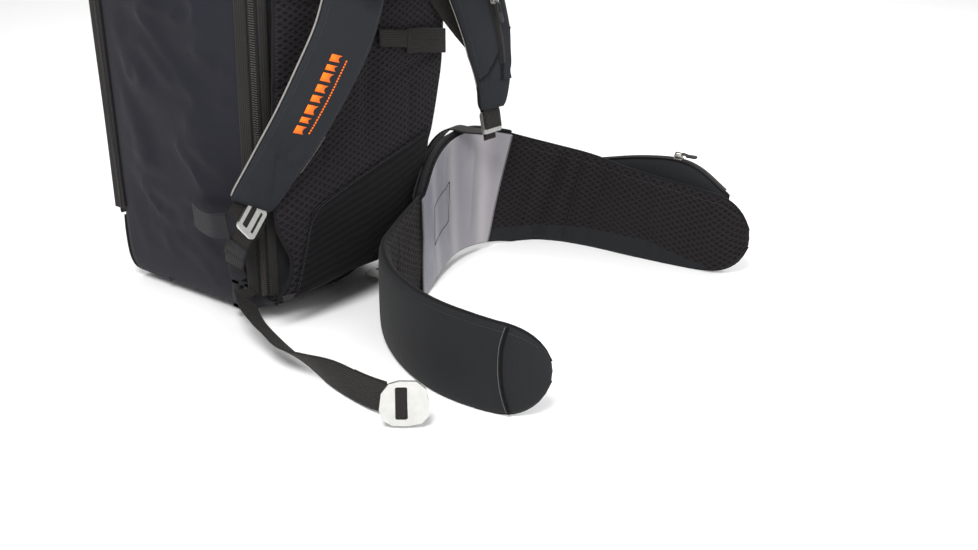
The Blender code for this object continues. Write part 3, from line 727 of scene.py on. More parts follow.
def bag_shell():
    """Both sides and the floor in one wrapped panel, bowed out and creased."""
    path = spread(mirrored([(x, z, 0) for x, z in BAG_HALF]), 150)[:, :2]
    n, m = len(path), 46
    depth = np.linspace(0, 1, m)[None, :]
    x = np.repeat(path[:, :1], m, axis=1)
    z = np.repeat(path[:, 1:], m, axis=1)
    y = (back_y(z) + 0.002) * (1 - depth) + 0.106 * depth
    low = (1 - z / 0.055).clip(0, 1)
    z = z + rise(y) * low
    far_corner = ramp(x + 0.01, 0.1) * ramp(-0.015 - y, 0.09)
    z = z + 0.04 * far_corner ** 1.3 * (1 - z / 0.16).clip(0, 1)
    up = ramp(z - 0.02, 0.1)
    slump = (1 - z / 0.22).clip(0, 1)
    x = x * (1 - 0.075 * slump * (x > 0))
    bow = 0.0125 * np.sin(math.pi * depth) ** 0.8 * up * (1 - 0.4 * (z / BAG_TOP) ** 4)
    x = x + np.sign(x) * bow
    grid = np.stack([x, y, z], axis=2)
    wide = rough_at(grid, 0.075, 3.0, (1, 1, 1.6))
    sharp = creases(grid + np.stack([0 * y, 0.35 * z, -0.35 * y], axis=2), 0.055, 9.0, (1, 0.8, 2.0))
    hold = ((np.minimum(depth, 1 - depth) - 0.085) / 0.12).clip(0, 1) * up
    dent = (0.0042 * wide + 0.005 * (sharp - 0.3)) * hold
    shell = Slab("bag_shell", grid, 0.0035, NYLON_PANEL, dent, "pack", True,
                 "side_fabric", 0.3)
    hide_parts("side_panel_right", "side_panel_left", "base_panel")
    for tag, s in (("right", 0.1), ("left", 0.9)):
        stitches("side_seam_" + tag, shell,
                 [(s - 0.06, -0.93), (s, -0.93), (0.36 if s < 0.5 else 0.64, -0.93)], count=160)
    for tag, s0, s1 in (("right", 0.03, 0.34), ("left", 0.97, 0.66)):
        drawn("side_piping_" + tag, shell, [(s0, 0.965), (s1, 0.965)], 0.0012, 90, 0.0018)


def door_panel():
    """Front door with its zip, daisy chains and axe keeper, and the panel below it."""
    n, m = 70, 50
    s, t = axes(n, m)
    z = 0.0775 + (0.4785 - 0.0775) * s + 0 * t
    corner = (1 - ((np.abs(t) - 0.88) / 0.12).clip(0, 1) ** 2 * 0.5 * ramp(s - 0.94, 0.06))
    x = (side_x(z) + 0.0035) * t * corner
    crown = (1 - np.abs(t) ** 3) * np.sin(math.pi * s) ** 0.5
    y = 0.1126 + 0.0085 * crown
    grid = np.stack([x, y + 0 * x, z], axis=2)
    thick = crowned(n, m, 0.0125, 0.0055, 4.0, (0.05, 0.05))
    dent = (0.0018 * rough_at(grid, 0.07, 21.0) + 0.002 * (creases(grid, 0.06, 14.0) - 0.3)) * crown
    for level in (0.3, 0.66):
        dent = dent - 0.0022 * bell(s, level, 0.008) * crown
    door = Slab("front_door_panel", grid, thick, NYLON_PANEL, dent, "front_door",
                False, "side_fabric", 0.5)
    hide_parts("front_panel")
    for tag, level in (("low", 0.292), ("high", 0.652)):
        stitches("door_stitch_" + tag, door, [(level, -0.93), (level, 0.93)], "front_door", 120)
    for k, t0 in enumerate((-0.42, 0.42)):
        points, _ = door.trace([(0.3, t0), (0.66, t0)], 0.0011, 60)
        ribbon("door_daisy_%d" % k, aimed(points, (0.02,), (0, 1, 0)), 0.0014, "front_door")
        bars = [placed(brick(0.02, 0.0022, 0.0007), door.at(v, t0, 0.002)[0], BRICK_UP)
                for v in np.linspace(0.31, 0.65, 8)]
        join("door_bartack_%d" % k, bars, THREAD_GREY, "front_door")
    half_track = [(0.116, 0.082), (0.1195, 0.18), (0.125, 0.3), (0.129, 0.42), (0.129, 0.462),
                  (0.118, 0.4765), (0.1, 0.479), (0, 0.4792)]
    points = spread(mirrored([(x, ZIP_Y, z) for x, z in half_track]), 190)
    normals = np.cross(unit(np.gradient(points, axis=0)), (0, 1, 0))
    outward = points * (1, 0, 1) - (0, 0, 0.28)
    normals = unit(normals * np.sign(np.sum(normals * outward, axis=1))[:, None])
    zipper("door_zip", points + normals * 0.0032, normals, 0.0105, "front_door")
    slider("door_slider", "front_zip_slider", "front_slider", (0.112, 0.1262, 0.44),
           (math.pi / 2, 0, math.pi))
    keeper = spread([(-0.06, 0.124, 0.4), (-0.066, 0.131, 0.392), (-0.06, 0.1335, 0.376),
                     (-0.05, 0.133, 0.376), (-0.044, 0.131, 0.392), (-0.05, 0.124, 0.4)], 40)
    rope("axe_keeper", keeper, 0.0013, CABLE, "front_door")
    soften(join("axe_toggle", [placed(brick(0.013, 0.01, 0.007), (-0.055, 0.1345, 0.374))],
                PLASTIC, "front_door"), 0.0012)
    n, m = 20, 40
    s, t = axes(n, m)
    z = 0.005 + 0.069 * s + 0 * t
    half = bag_half(z) + 0.001
    grid = np.stack([half * t, 0.109 + 0.0014 * np.sin(math.pi * s) + 0 * t, z], axis=2)
    lower = Slab("front_lower_fabric", grid, 0.0042, SHELL_PANEL,
                 0.001 * rough_at(grid, 0.04, 5.0), "pack", False, "side_fabric")
    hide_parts("front_lower_panel")
    stitches("lower_stitch", lower, [(0.9, -0.94), (0.9, 0.94)], count=120)
    loop = spread([(0.05, 0.1134, 0.05), (0.05, 0.128, 0.0415), (0.05, 0.141, 0.028),
                   (0.05, 0.13, 0.014), (0.05, 0.1142, 0.011)], 40)
    axe = ribbon("axe_loop_webbing", ruled(loop, (0.01, 0, 0)), 0.0018)
    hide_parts("ice_axe_loop")


def divider_panel():
    """Fabric wall between the two compartments."""
    n, m = 40, 30
    s, t = axes(n, m)
    z = 0.009 + 0.37 * s + 0 * t
    x = (0.109 + 0.0155 * s) * t
    grid = np.stack([x, 0.052 + 0 * x, z], axis=2)
    grid[..., 1] += 0.0025 * rough_at(grid, 0.09, 31.0) * (1 - np.abs(t) ** 4)
    flap = Slab("divider_fabric", grid, 0.0014, [LINING, LINING, BINDING], None, "pack", False,
                "side_fabric")
    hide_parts("compartment_divider")
    drawn("divider_binding", flap, [(1.0, -1.0), (1.0, 1.0)], 0.0, 60, 0.002)


# ------------------------------------------------------------------ airbag top
def airbag_cover():
    """Tray wall and floor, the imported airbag, the burst cover and the haul loop."""
    loop = []
    half_x, half_y, r = 0.131, 0.1165, 0.02
    for k, (sx, sy) in enumerate(((1, -1), (1, 1), (-1, 1), (-1, -1))):
        for a in np.linspace(0, math.pi / 2, 8) + math.pi / 2 * (k - 1):
            loop.append((sx * (half_x - r) + r * math.cos(a),
                         TRAY_Y + sy * (half_y - r) + r * math.sin(a), 0))
    loop.append(loop[0])
    run = np.array(loop)
    length = np.r_[0, np.cumsum(np.linalg.norm(np.diff(run, axis=0), axis=1))]
    even = np.linspace(0, length[-1], 170)
    run = np.stack([np.interp(even, length, run[:, k]) for k in range(3)], axis=1)
    m = 14
    t = np.linspace(0, 1, m)[None, :]
    out = unit(run - (0, TRAY_Y, 0))
    grid = np.repeat(run[:, None, :], m, axis=1)
    grid[..., 2] = 0.4815 + 0.068 * t
    grid -= out[:, None, :] * (0.0022 - 0.0022 * np.sin(math.pi * t))[..., None]
    dent = 0.0009 * rough_at(grid, 0.05, 12.0) + 0.001 * creases(grid, 0.04, 2.0, (1, 1, 0.5))
    dent = dent * np.sin(math.pi * t) ** 0.6
    wall = Slab("airbag_wall", grid, 0.003, NYLON_PANEL, dent, "pack", False,
                "side_fabric", 0.4)
    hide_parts("airbag_tray")
    for name, t, radius, look in (("tray_piping_low", -0.985, 0.0016, BINDING),
                                  ("tray_piping_high", 0.94, 0.0012, PRINT)):
        drawn(name, wall, [(0.001, t), (0.999, t)], 0.0006, 170, radius, look)
    s = np.linspace(-1, 1, 40)[:, None]
    t = s.T
    grid = np.stack([0.122 * t + 0 * s, TRAY_Y + 0.108 * s + 0 * t, 0.483 + 0 * s * t], axis=2)
    Slab("tray_floor", grid, 0.0016, [LINING], None, "pack", True, "side_fabric")
    grid = np.stack([0.114 * t + 0 * s, TRAY_Y + 0.094 * s + 0 * t, 0.526 + 0 * s * t], axis=2)
    thick = 0.03 + 0.046 * ((1 - np.abs(s) ** 6) * (1 - np.abs(t) ** 6)) ** 0.5
    dent = 0.0035 * np.abs(np.sin(13 * s + 1.5 * rough_at(grid, 0.05, 4.0))) * (1 - t ** 4) - 0.002
    bag = Slab("airbag_packed", grid, thick, [ORANGE], dent, "pack", True, "airbag_orange")
    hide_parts("airbag_folded")
    arc = spread([(0, -0.1262, 0.5535), (0, -0.119, 0.576), (0, -0.088, 0.5935), (0, -0.01, 0.6025),
                  (0, 0.066, 0.5945), (0, 0.0965, 0.576), (0, 0.1035, 0.5535)], 60)
    m = 50
    t = np.linspace(-1, 1, m)[None, :]
    high = arc[:, 2:] - 0.553
    z = 0.553 + high * (1 - np.abs(t) ** 5) ** 0.5
    y = TRAY_Y + (arc[:, 1:2] - TRAY_Y) * (1 - 0.05 * np.abs(t) ** 8)
    x = 0.1305 * np.sign(t) * np.abs(t) ** 0.85 + 0 * y
    round_off = 1 - 0.062 * np.abs((y - TRAY_Y) / 0.115) ** 7 * np.abs(t) ** 7
    grid = np.stack([x * round_off, TRAY_Y + (y - TRAY_Y) * round_off, z], axis=2)
    calm = ramp(high, 0.05) * (1 - np.abs(t) ** 6)
    dent = (0.0016 * rough_at(grid, 0.06, 7.0) + 0.0022 * (creases(grid, 0.06, 17.0) - 0.3)) * calm
    lid = Slab("burst_cover_fabric", grid, 0.0028, NYLON_PANEL, dent, "cover", True,
               "side_fabric", 0.3)
    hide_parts("burst_cover")
    for name, t in (("cover_seam", -0.45), ("cover_seam_b", 0.45)):
        stitches(name, lid, [(0.08, t), (0.5, t), (0.92, t)], "cover", 90)
    for name, t in (("cover_piping_right", -0.96), ("cover_piping_left", 0.96)):
        drawn(name, lid, [(0.06, t), (0.94, t)], 0.0012, 80, 0.0015, PRINT, "cover")
    s = np.linspace(-0.112, 0.112, 60)[:, None]
    t = np.linspace(0, 1, 10)[None, :]
    grid = np.stack([s + 0 * t, 0.103 + 0.0002 * t + 0 * s, 0.544 + 0.0125 * t + 0 * s], axis=2)
    strip = Slab("cover_hinge", grid, 0.0012, NYLON_PANEL, None, None, True, "side_fabric")
    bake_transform(strip.obj)
    loop = spread(mirrored([(x, -0.1335, z) for x, z in
                            ((0.035, 0.498), (0.0335, 0.522), (0.022, 0.541), (0, 0.5475))]), 60)
    rope("haul_grip", loop[14:46], 0.0042, CHARCOAL, "haul", 12)
    haul = ribbon("haul_webbing", ruled(loop, (0, 0.0042, 0)), 0.0026, "haul")
    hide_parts("haul_loop")
    for side in (RIGHT, LEFT):
        shape = placed(brick(0.018, 0.02, 0.0016), (side * 0.035, -0.1305, 0.489), BRICK_UP)
        join("haul_anchor_" + ("right" if side < 0 else "left"), [shape], WEBBING, "pack")


def collar():
    """The yoke that joins the bag's rim and the top of the back panel to the airbag tray."""
    inner = spread(mirrored([(0.1325, 0.1, 0.4895), (0.1325, 0.0, 0.49), (0.132, -0.098, 0.4915),
                             (0.1255, -0.1215, 0.493), (0.108, -0.1295, 0.4945),
                             (0.0, -0.1298, 0.4955)]), 160)
    outer = spread(mirrored([(0.1345, 0.103, 0.4785), (0.142, 0.0, 0.4785), (0.1372, -0.098, 0.4785),
                             (0.135, -0.137, 0.478), (0.113, -0.156, 0.467), (0.0, -0.161, 0.4665)]), 160)
    share = np.linspace(0, 1, 12)[None, :, None]
    grid = inner[:, None, :] * (1 - share) + outer[:, None, :] * share
    span = np.linalg.norm(outer - inner, axis=1)[:, None]
    grid[..., 2] += 0.1 * span * np.sin(math.pi * share[..., 0])
    dent = 0.001 * rough_at(grid, 0.04, 61.0) * np.sin(math.pi * share[..., 0])
    yoke = Slab("airbag_collar", grid, 0.0024, NYLON_PANEL, dent, "pack", True,
                "side_fabric", 0.3)
    drawn("collar_piping", yoke, [(0.002, 0.96), (0.998, 0.96)], 0.001, 200, 0.0014)


# ------------------------------------------------------------------ back system
def edge_x(z, side):
    """Edge of the back panel at height z: drawn in above the hem, where the slot opens."""
    near = ((0.034, 0.118), (0.045, 0.107), (0.06, 0.0985), (0.078, 0.098), (0.096, 0.107),
            (0.122, 0.116), (0.2, 0.1175), (0.333, 0.115), (0.464, 0.113))
    far = ((0.034, 0.086), (0.06, 0.082), (0.08, 0.082), (0.104, 0.085), (0.137, 0.095),
           (0.17, 0.104), (0.207, 0.1125), (0.248, 0.118), (0.333, 0.117), (0.464, 0.113))
    table = near if side < 0 else far
    smooth = spread([(a, b, 0) for a, b in table], 80)
    return np.interp(z, smooth[:, 0], smooth[:, 1])


def hem_z(x):
    return np.interp(x, (-0.12, -0.1, -0.072, -0.04, -0.007, 0.018, 0.04, 0.06, 0.083),
                     (0.031, 0.031, 0.036, 0.0405, 0.046, 0.053, 0.06, 0.069, 0.08))


def back_panel():
    """Mesh pad with its channel, ribbed lumbar pad in painted shade, hem, and the framesheet's fabric."""
    n, m = 130, 90
    s, t = axes(n, m)
    z0 = 0.034 + 0.43 * s + 0 * t
    x = np.where(t < 0, edge_x(z0, RIGHT), edge_x(z0, LEFT)) * t
    z = z0 + (hem_z(x) - 0.034) * (1 - s * 3.2).clip(0, 1)
    low = (1 - z / 0.21).clip(0, 1)
    bulge = 0.004 + 0.004 * low
    y = back_y(z) - 0.016 - bulge * (1 - (x / 0.118) ** 2) - 0.002 * low
    grid = np.stack([x, y, z], axis=2)
    thick = crowned(n, m, 0.0155, 0.005, 5.0, (0.02, 0.02))
    thick = thick - 0.0055 * (1 - (z - 0.03) / 0.14).clip(0, 1)
    channel = bell(x, 0.0, 0.012) * ramp(z - 0.15, 0.05)
    dent = -0.0035 * channel
    for level in (0.235, 0.315, 0.395):
        dent = dent - 0.0022 * bell(z - 0.15 * np.abs(x), level, 0.0045) * (np.abs(x) > 0.02)
    dent = dent - 0.0018 * bell(np.abs(x), 0.062, 0.004) * ramp(z - 0.15, 0.03) * (z < 0.23)
    panel = Slab("back_mesh_panel", grid, thick, [BACK_MESH, LINING, BINDING], dent, "pack", True,
                 "spacer_mesh", 0.9)
    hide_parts("back_pad", "lumbar_pad")
    for tag, t in (("right", -1.0), ("left", 1.0)):
        edge_rope("back_piping_" + tag, panel, t, BINDING, radius=0.0019, out=0.0005)
    hem = np.array([panel.at(0.012, v, 0.0011)[0] for v in np.linspace(-0.985, 0.985, 90)])
    rows = ruled(hem, (0, -0.0002, 0.0028))
    Slab("lumbar_hem", band_grid(rows, 5), 0.0014, [HEM], body="pack", slot="spacer_mesh", flip=True)
    stitches("hem_stitch", panel, [(0.03, -0.97), (0.03, 0.97)], count=120)
    # Ribbed lumbar centre: the ribbed panel is real, but its near-black colour is painted shade and its top
    # edge follows the edge of that shade.
    n, m = 60, 60
    s, t = axes(n, m)
    share = (t + 1) / 2
    top = 0.121 + 0.05 * share ** 0.75
    left = -0.101 + 0.023 * s ** 0.8
    right = 0.076 + 0.016 * s
    x = left + (right - left) * share
    base = hem_z(x) + 0.0055
    z = base + (top - base) * s
    y = back_y(z) - 0.0245 - 0.0072 * (1 - (x / 0.118) ** 2)
    grid = np.stack([x, y + 0 * z, z], axis=2)
    thick = crowned(n, m, 0.008, 0.0016, 3.0, (0.03, 0.16))
    dent = 0.0007 * rough_at(grid, 0.05, 8.0)
    centre = Slab("lumbar_centre_painted_shade", grid, thick, [LUMBAR_RIB_PAINTED_SHADE, LUMBAR_RIB_PAINTED_SHADE, BACK_MESH], dent, "pack", True,
                  "spacer_mesh")
    stitches("lumbar_stitch", centre, [(0.06, -0.985), (0.5, -0.985), (0.93, -0.96), (0.985, -0.6),
                                       (0.985, 0.6), (0.93, 0.96), (0.5, 0.985), (0.06, 0.985)], count=240)
    n, m = 70, 40
    s, t = axes(n, m)
    z = 0.0305 + 0.434 * s + 0 * t
    x = (side_x(z) - 0.0045 - 0.012 * (1 - z / 0.1).clip(0, 1) * (t > 0)) * t
    grid = np.stack([x, back_y(z) - 0.002 + 0 * x, z], axis=2)
    sheet = Slab("back_sheet", grid, 0.0042, SHELL_PANEL,
                 0.0006 * rough_at(grid, 0.05, 44.0), "pack", True, "side_fabric")
    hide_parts("framesheet")


def corner_zips():
    """Tape folded round each rear edge of the bag, with its coil, ridges and stitches."""
    for tag, side in (("right", RIGHT), ("left", LEFT)):
        grid = np.zeros((110, 15, 3))
        for i, z in enumerate(np.linspace(0.036, 0.4765, 110)):
            slump = 1 - 0.075 * max(0, 1 - z / 0.22) * (side > 0)
            corner_x = side_x(z) * slump
            over = bag_half(z) * slump + 0.0041 * (1 - 0.4 * (z / BAG_TOP) ** 4) + 0.0026
            a = np.array((over, back_y(z) + 0.0195))
            b = np.array((corner_x + 0.0068, back_y(z) - 0.0062))
            c = np.array((corner_x - 0.0095, back_y(z) - 0.0064))
            for j, w in enumerate(np.linspace(0, 1, 15)):
                p = (1 - w) ** 2 * a + 2 * w * (1 - w) * b + w * w * c
                grid[i, j] = (side * p[0], p[1], z)
        tape = Slab("back_zip_tape_" + tag, grid, 0.001, [ZIP_TAPE], body="pack", slot="zip_tape",
                    flip=side < 0)
        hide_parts("back_zip_" + tag)
        for k, (t, start) in enumerate(((-0.085, 0.0), (0.065, 0.0026))):
            middle, normals = tape.trace([(start, t), (1.0, t)], 0.0004, 200)
            scatter("back_zip_coil_%s_%d" % (tag, k), brick(0.0026, 0.0012, 0.0015, 0.3),
                    frames_on(middle, normals, 0.0023, False, 0.0004), COIL, "pack", True)
        for k, t in enumerate((-0.3, 0.28)):
            drawn("back_zip_ridge_%s_%d" % (tag, k), tape, [(0.0, t), (1.0, t)], 0.0005, 120, 0.0008,
                  sides=6)
            stitches("back_zip_stitch_%s_%d" % (tag, k), tape, [(0.0, t * 1.5), (1.0, t * 1.5)], count=160)
    slider("back_slider", "back_zip_slider", "back_slider", (-side_x(0.44) - 0.0072, -0.1315, 0.44),
           (math.pi / 2, 0, -math.pi / 2 + 0.55))


# ------------------------------------------------------------------ shoulder straps
RIGHT_STRAP = [(-0.145, -0.128, 0.142), (-0.128, -0.144, 0.177), (-0.108, -0.162, 0.219),
               (-0.087, -0.178, 0.266), (-0.07, -0.188, 0.306), (-0.058, -0.192, 0.346),
               (-0.05, -0.191, 0.386), (-0.045, -0.184, 0.424), (-0.043, -0.176, 0.458)]
LEFT_STRAP = [(0.161, -0.172, 0.184), (0.161, -0.174, 0.216), (0.149, -0.178, 0.258),
              (0.128, -0.182, 0.304), (0.103, -0.187, 0.346), (0.08, -0.19, 0.386),
              (0.062, -0.185, 0.424), (0.053, -0.177, 0.458)]
STRAP_FACE = unit(np.array((-0.1, -1.0, 0.0)))
STRAP_THICK = 0.012
WEB_THICK = 0.0016


def shoulder_strap(tag, route, widths, creased):
    """Crowned foam strap with a bound edge; creased says where its low end wrinkles."""
    n, m = 120, 40
    points = spread(route, n)
    rows = aimed(points, widths, STRAP_FACE)
    s = np.linspace(0, 1, n)[:, None]
    tip = (1 - (1 - ramp(s, 0.035)) ** 2) ** 0.5
    rows[:, 3:6] *= 0.86 + 0.14 * tip
    grid = band_grid(rows, m)
    thick = crowned(n, m, STRAP_THICK, 0.0042, 4.0, (0.03, 0.0))
    t = np.linspace(-1, 1, m)[None, :]
    fold = creases(grid, 0.03, 5.0, (1.2, 1, 0.8))
    dent = (0.0016 * rough_at(grid, 0.06, 8.0) * (1 - t ** 4)
            - creased * 0.0038 * fold * bell(s, 0.12, 0.1) * (1 - np.abs(t) ** 6)
            - creased * 0.0018 * bell(s + 0.05 * t, 0.15, 0.012) * (1 - t ** 4))
    pad = Slab("strap_" + tag, grid, thick, [CHARCOAL, BACK_MESH, BINDING], dent, "pack", True,
               "strap_fabric", 0.5)
    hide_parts("shoulder_strap_" + tag)
    return pad


def printed_bars(pad):
    """Generic orange motif: a run of slanted bars and a thin broken line beside it."""
    bars = []
    starts = (0.245, 0.279, 0.306, 0.343, 0.372, 0.404, 0.436, 0.462)
    lengths = (0.0235, 0.0165, 0.0265, 0.019, 0.0215, 0.024, 0.016, 0.02)
    for start, length in zip(starts, lengths):
        corners = [pad.at(start + ds, t, 0.00035)[0] for ds, t in
                   ((0.004, 0.1), (0.004 + length, 0.1), (length, -0.26), (0.0, -0.26))]
        notch = [pad.at(start + ds, t, 0.00035)[0] for ds, t in
                 ((0.004 + length * 0.66, 0.02), (0.004 + length * 0.34, 0.02))]
        bars.append((corners[:2] + corners[2:] + notch, [(0, 5, 3), (5, 4, 2, 3), (4, 1, 2)]))
    made = join("strap_motif_bars", bars, PRINT, "pack")
    shell = made.modifiers.new("Solidify", "SOLIDIFY")
    shell.thickness = 0.0003
    shell.offset = 0.0
    dashes, normals = pad.trace([(0.255, 0.3), (0.48, 0.3)], 0.0003, 60)
    scatter("strap_motif_dashes", brick(0.0019, 0.0016, 0.0004), frames_on(dashes, normals, 0.0029),
            PRINT, "pack")


def shoulder_straps():
    """Both straps with their piping, stitches, motif, keepers and trigger pocket."""
    near = shoulder_strap("right", RIGHT_STRAP, (0.052, 0.062, 0.068, 0.07, 0.068, 0.064), 1.0)
    edge_rope("strap_piping_long", near, -1.0, PIPING, radius=0.0009, start=0.01, end=0.985, out=0.0012)
    edge_rope("strap_piping_short", near, 1.0, PIPING, radius=0.0008, start=0.14, end=0.26, out=0.0016)
    edge_rope("strap_binding", near, 1.0, BINDING, radius=0.0016, start=0.03, end=0.985, out=0.0002)
    for tag, t in (("outer", -0.86), ("inner", 0.86)):
        stitches("strap_stitch_" + tag, near, [(0.02, t), (0.98, t)], count=140)
    printed_bars(near)
    for k, s in enumerate((0.69, 0.78, 0.9)):
        daisy(near, "strap_bar_%d" % k, s)
    far = shoulder_strap("left", LEFT_STRAP, (0.036, 0.062, 0.068, 0.066, 0.062), 0.5)
    edge_rope("far_binding_outer", far, 1.0, BINDING, radius=0.0016, out=0.0004)
    edge_rope("far_piping_inner", far, -1.0, PIPING, radius=0.0006, start=0.1, end=0.98, out=0.0008)
    stitches("far_stitch_outer", far, [(0.1, -0.86), (0.98, -0.86)], count=120)
    pocket_zip(far)
    trigger()


def daisy(pad, name, s):
    """Narrow keeper webbing sewn across a strap."""
    points = np.array([pad.at(s, t, 0.0011)[0] for t in np.linspace(-0.8, 0.8, 24)])
    ahead = unit(pad.at(s + 0.02, 0)[0] - pad.at(s - 0.02, 0)[0])
    ribbon(name, ruled(points, ahead * 0.0055), 0.0012, m=5)


def pocket_zip(pad):
    """The closed trigger pocket's zip down the far strap, with its flap and the strap's end."""
    line, normals = pad.trace([(0.16, 0.44), (0.4, 0.43), (0.66, 0.4)], 0.0009, 120)
    tape = zipper("trigger_zip_tape", line, normals, 0.0062, "pack")
    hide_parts("trigger_pocket_zip")
    flap, _ = pad.trace([(0.1, 0.62), (0.4, 0.61), (0.72, 0.58)], 0.0016, 90)
    ahead = unit(np.gradient(flap, axis=0))
    rows = np.concatenate([flap, np.cross(ahead, STRAP_FACE) * 0.0052], axis=1)
    Slab("trigger_zip_flap", band_grid(rows, 7), 0.0016, [CHARCOAL], body="pack", slot="strap_fabric")
    drawn("trigger_zip_edge", pad, [(0.1, 0.3), (0.4, 0.29), (0.72, 0.26)], 0.0008, 80, 0.0009)
    cap = [(0.135, -0.96), (0.15, -0.4), (0.19, 0.1), (0.245, 0.6), (0.262, 0.96)]
    drawn("strap_end_hem", pad, cap, 0.0006, 60, 0.0011)
    stitches("strap_end_stitch", pad, [(s + 0.018, t) for s, t in cap], count=60)


def trigger():
    """The trigger pocket's slider with its knot, cord and bead."""
    x, y, z = (np.array(v) for v in ((0.884, -0.088, 0.459), (-0.466, -0.091, 0.88),
                                     (-0.036, -0.992, -0.122)))
    turn = Matrix(np.stack([x, y, z], axis=1).tolist())
    centre = np.array((0.1373, -0.1949, 0.3076))
    slider("trigger_zip_slider", "pocket_zip_slider", "pocket_slider", centre, turn, CABLE, 0.02)
    knot = centre + x * 0.002 + y * 0.012 + z * 0.004
    turns = [knot + x * 0.0042 * math.cos(a) + z * 0.003 * math.sin(a) + y * 0.0011 * (a - 8) / 2
             for a in np.linspace(0, 2 * math.pi * 2.6, 46)]
    rope("pull_knot", turns, 0.0017, CABLE, "pocket_slider")
    rope("pull_cord", spread([centre + y * 0.004 + z * 0.004, knot, knot + y * 0.01 - x * 0.003], 16),
         0.0014, CABLE, "pocket_slider")
    bead = knot + y * 0.0145 - x * 0.005 + z * 0.001
    ring, faces = [], []
    for i, (r, h) in enumerate(((0.0014, -0.0038), (0.0032, -0.003), (0.004, -0.001),
                                (0.004, 0.001), (0.0032, 0.003), (0.0014, 0.0038))):
        for k in range(16):
            a = 2 * math.pi * k / 16
            ring.append(bead + x * r * math.cos(a) + z * r * math.sin(a) + y * h)
        if i:
            faces += [((i - 1) * 16 + k, (i - 1) * 16 + (k + 1) % 16, i * 16 + (k + 1) % 16, i * 16 + k)
                      for k in range(16)]
    faces += [tuple(range(15, -1, -1)), tuple(80 + k for k in range(16))]
    soften(mesh_object("pull_bead", ring, faces, BEAD, "pocket_slider"), 0.0004)


# ------------------------------------------------------------------ webbing and belt
def webbing_band(name, route, widths, normal, node, look=WEBBING, count=60):
    """Slightly uneven webbing along a route, facing normal; it may replace a CAD node."""
    rows = aimed(spread(route, count), widths, np.array(normal, float))
    band = ribbon(name, rows, WEB_THICK, "pack", look, 9, 0.5, 0.0004 * rough_at(band_grid(rows, 9), 0.03))
    if node:
        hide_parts(node)
    return band


def fixed_band(name, route, half, node):
    """Webbing along a route with one half-width vector all the way."""
    band = ribbon(name, ruled(spread(route, 50), half), WEB_THICK, "pack", WEBBING, 9, 0.5)
    if node:
        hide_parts(node)
    return band


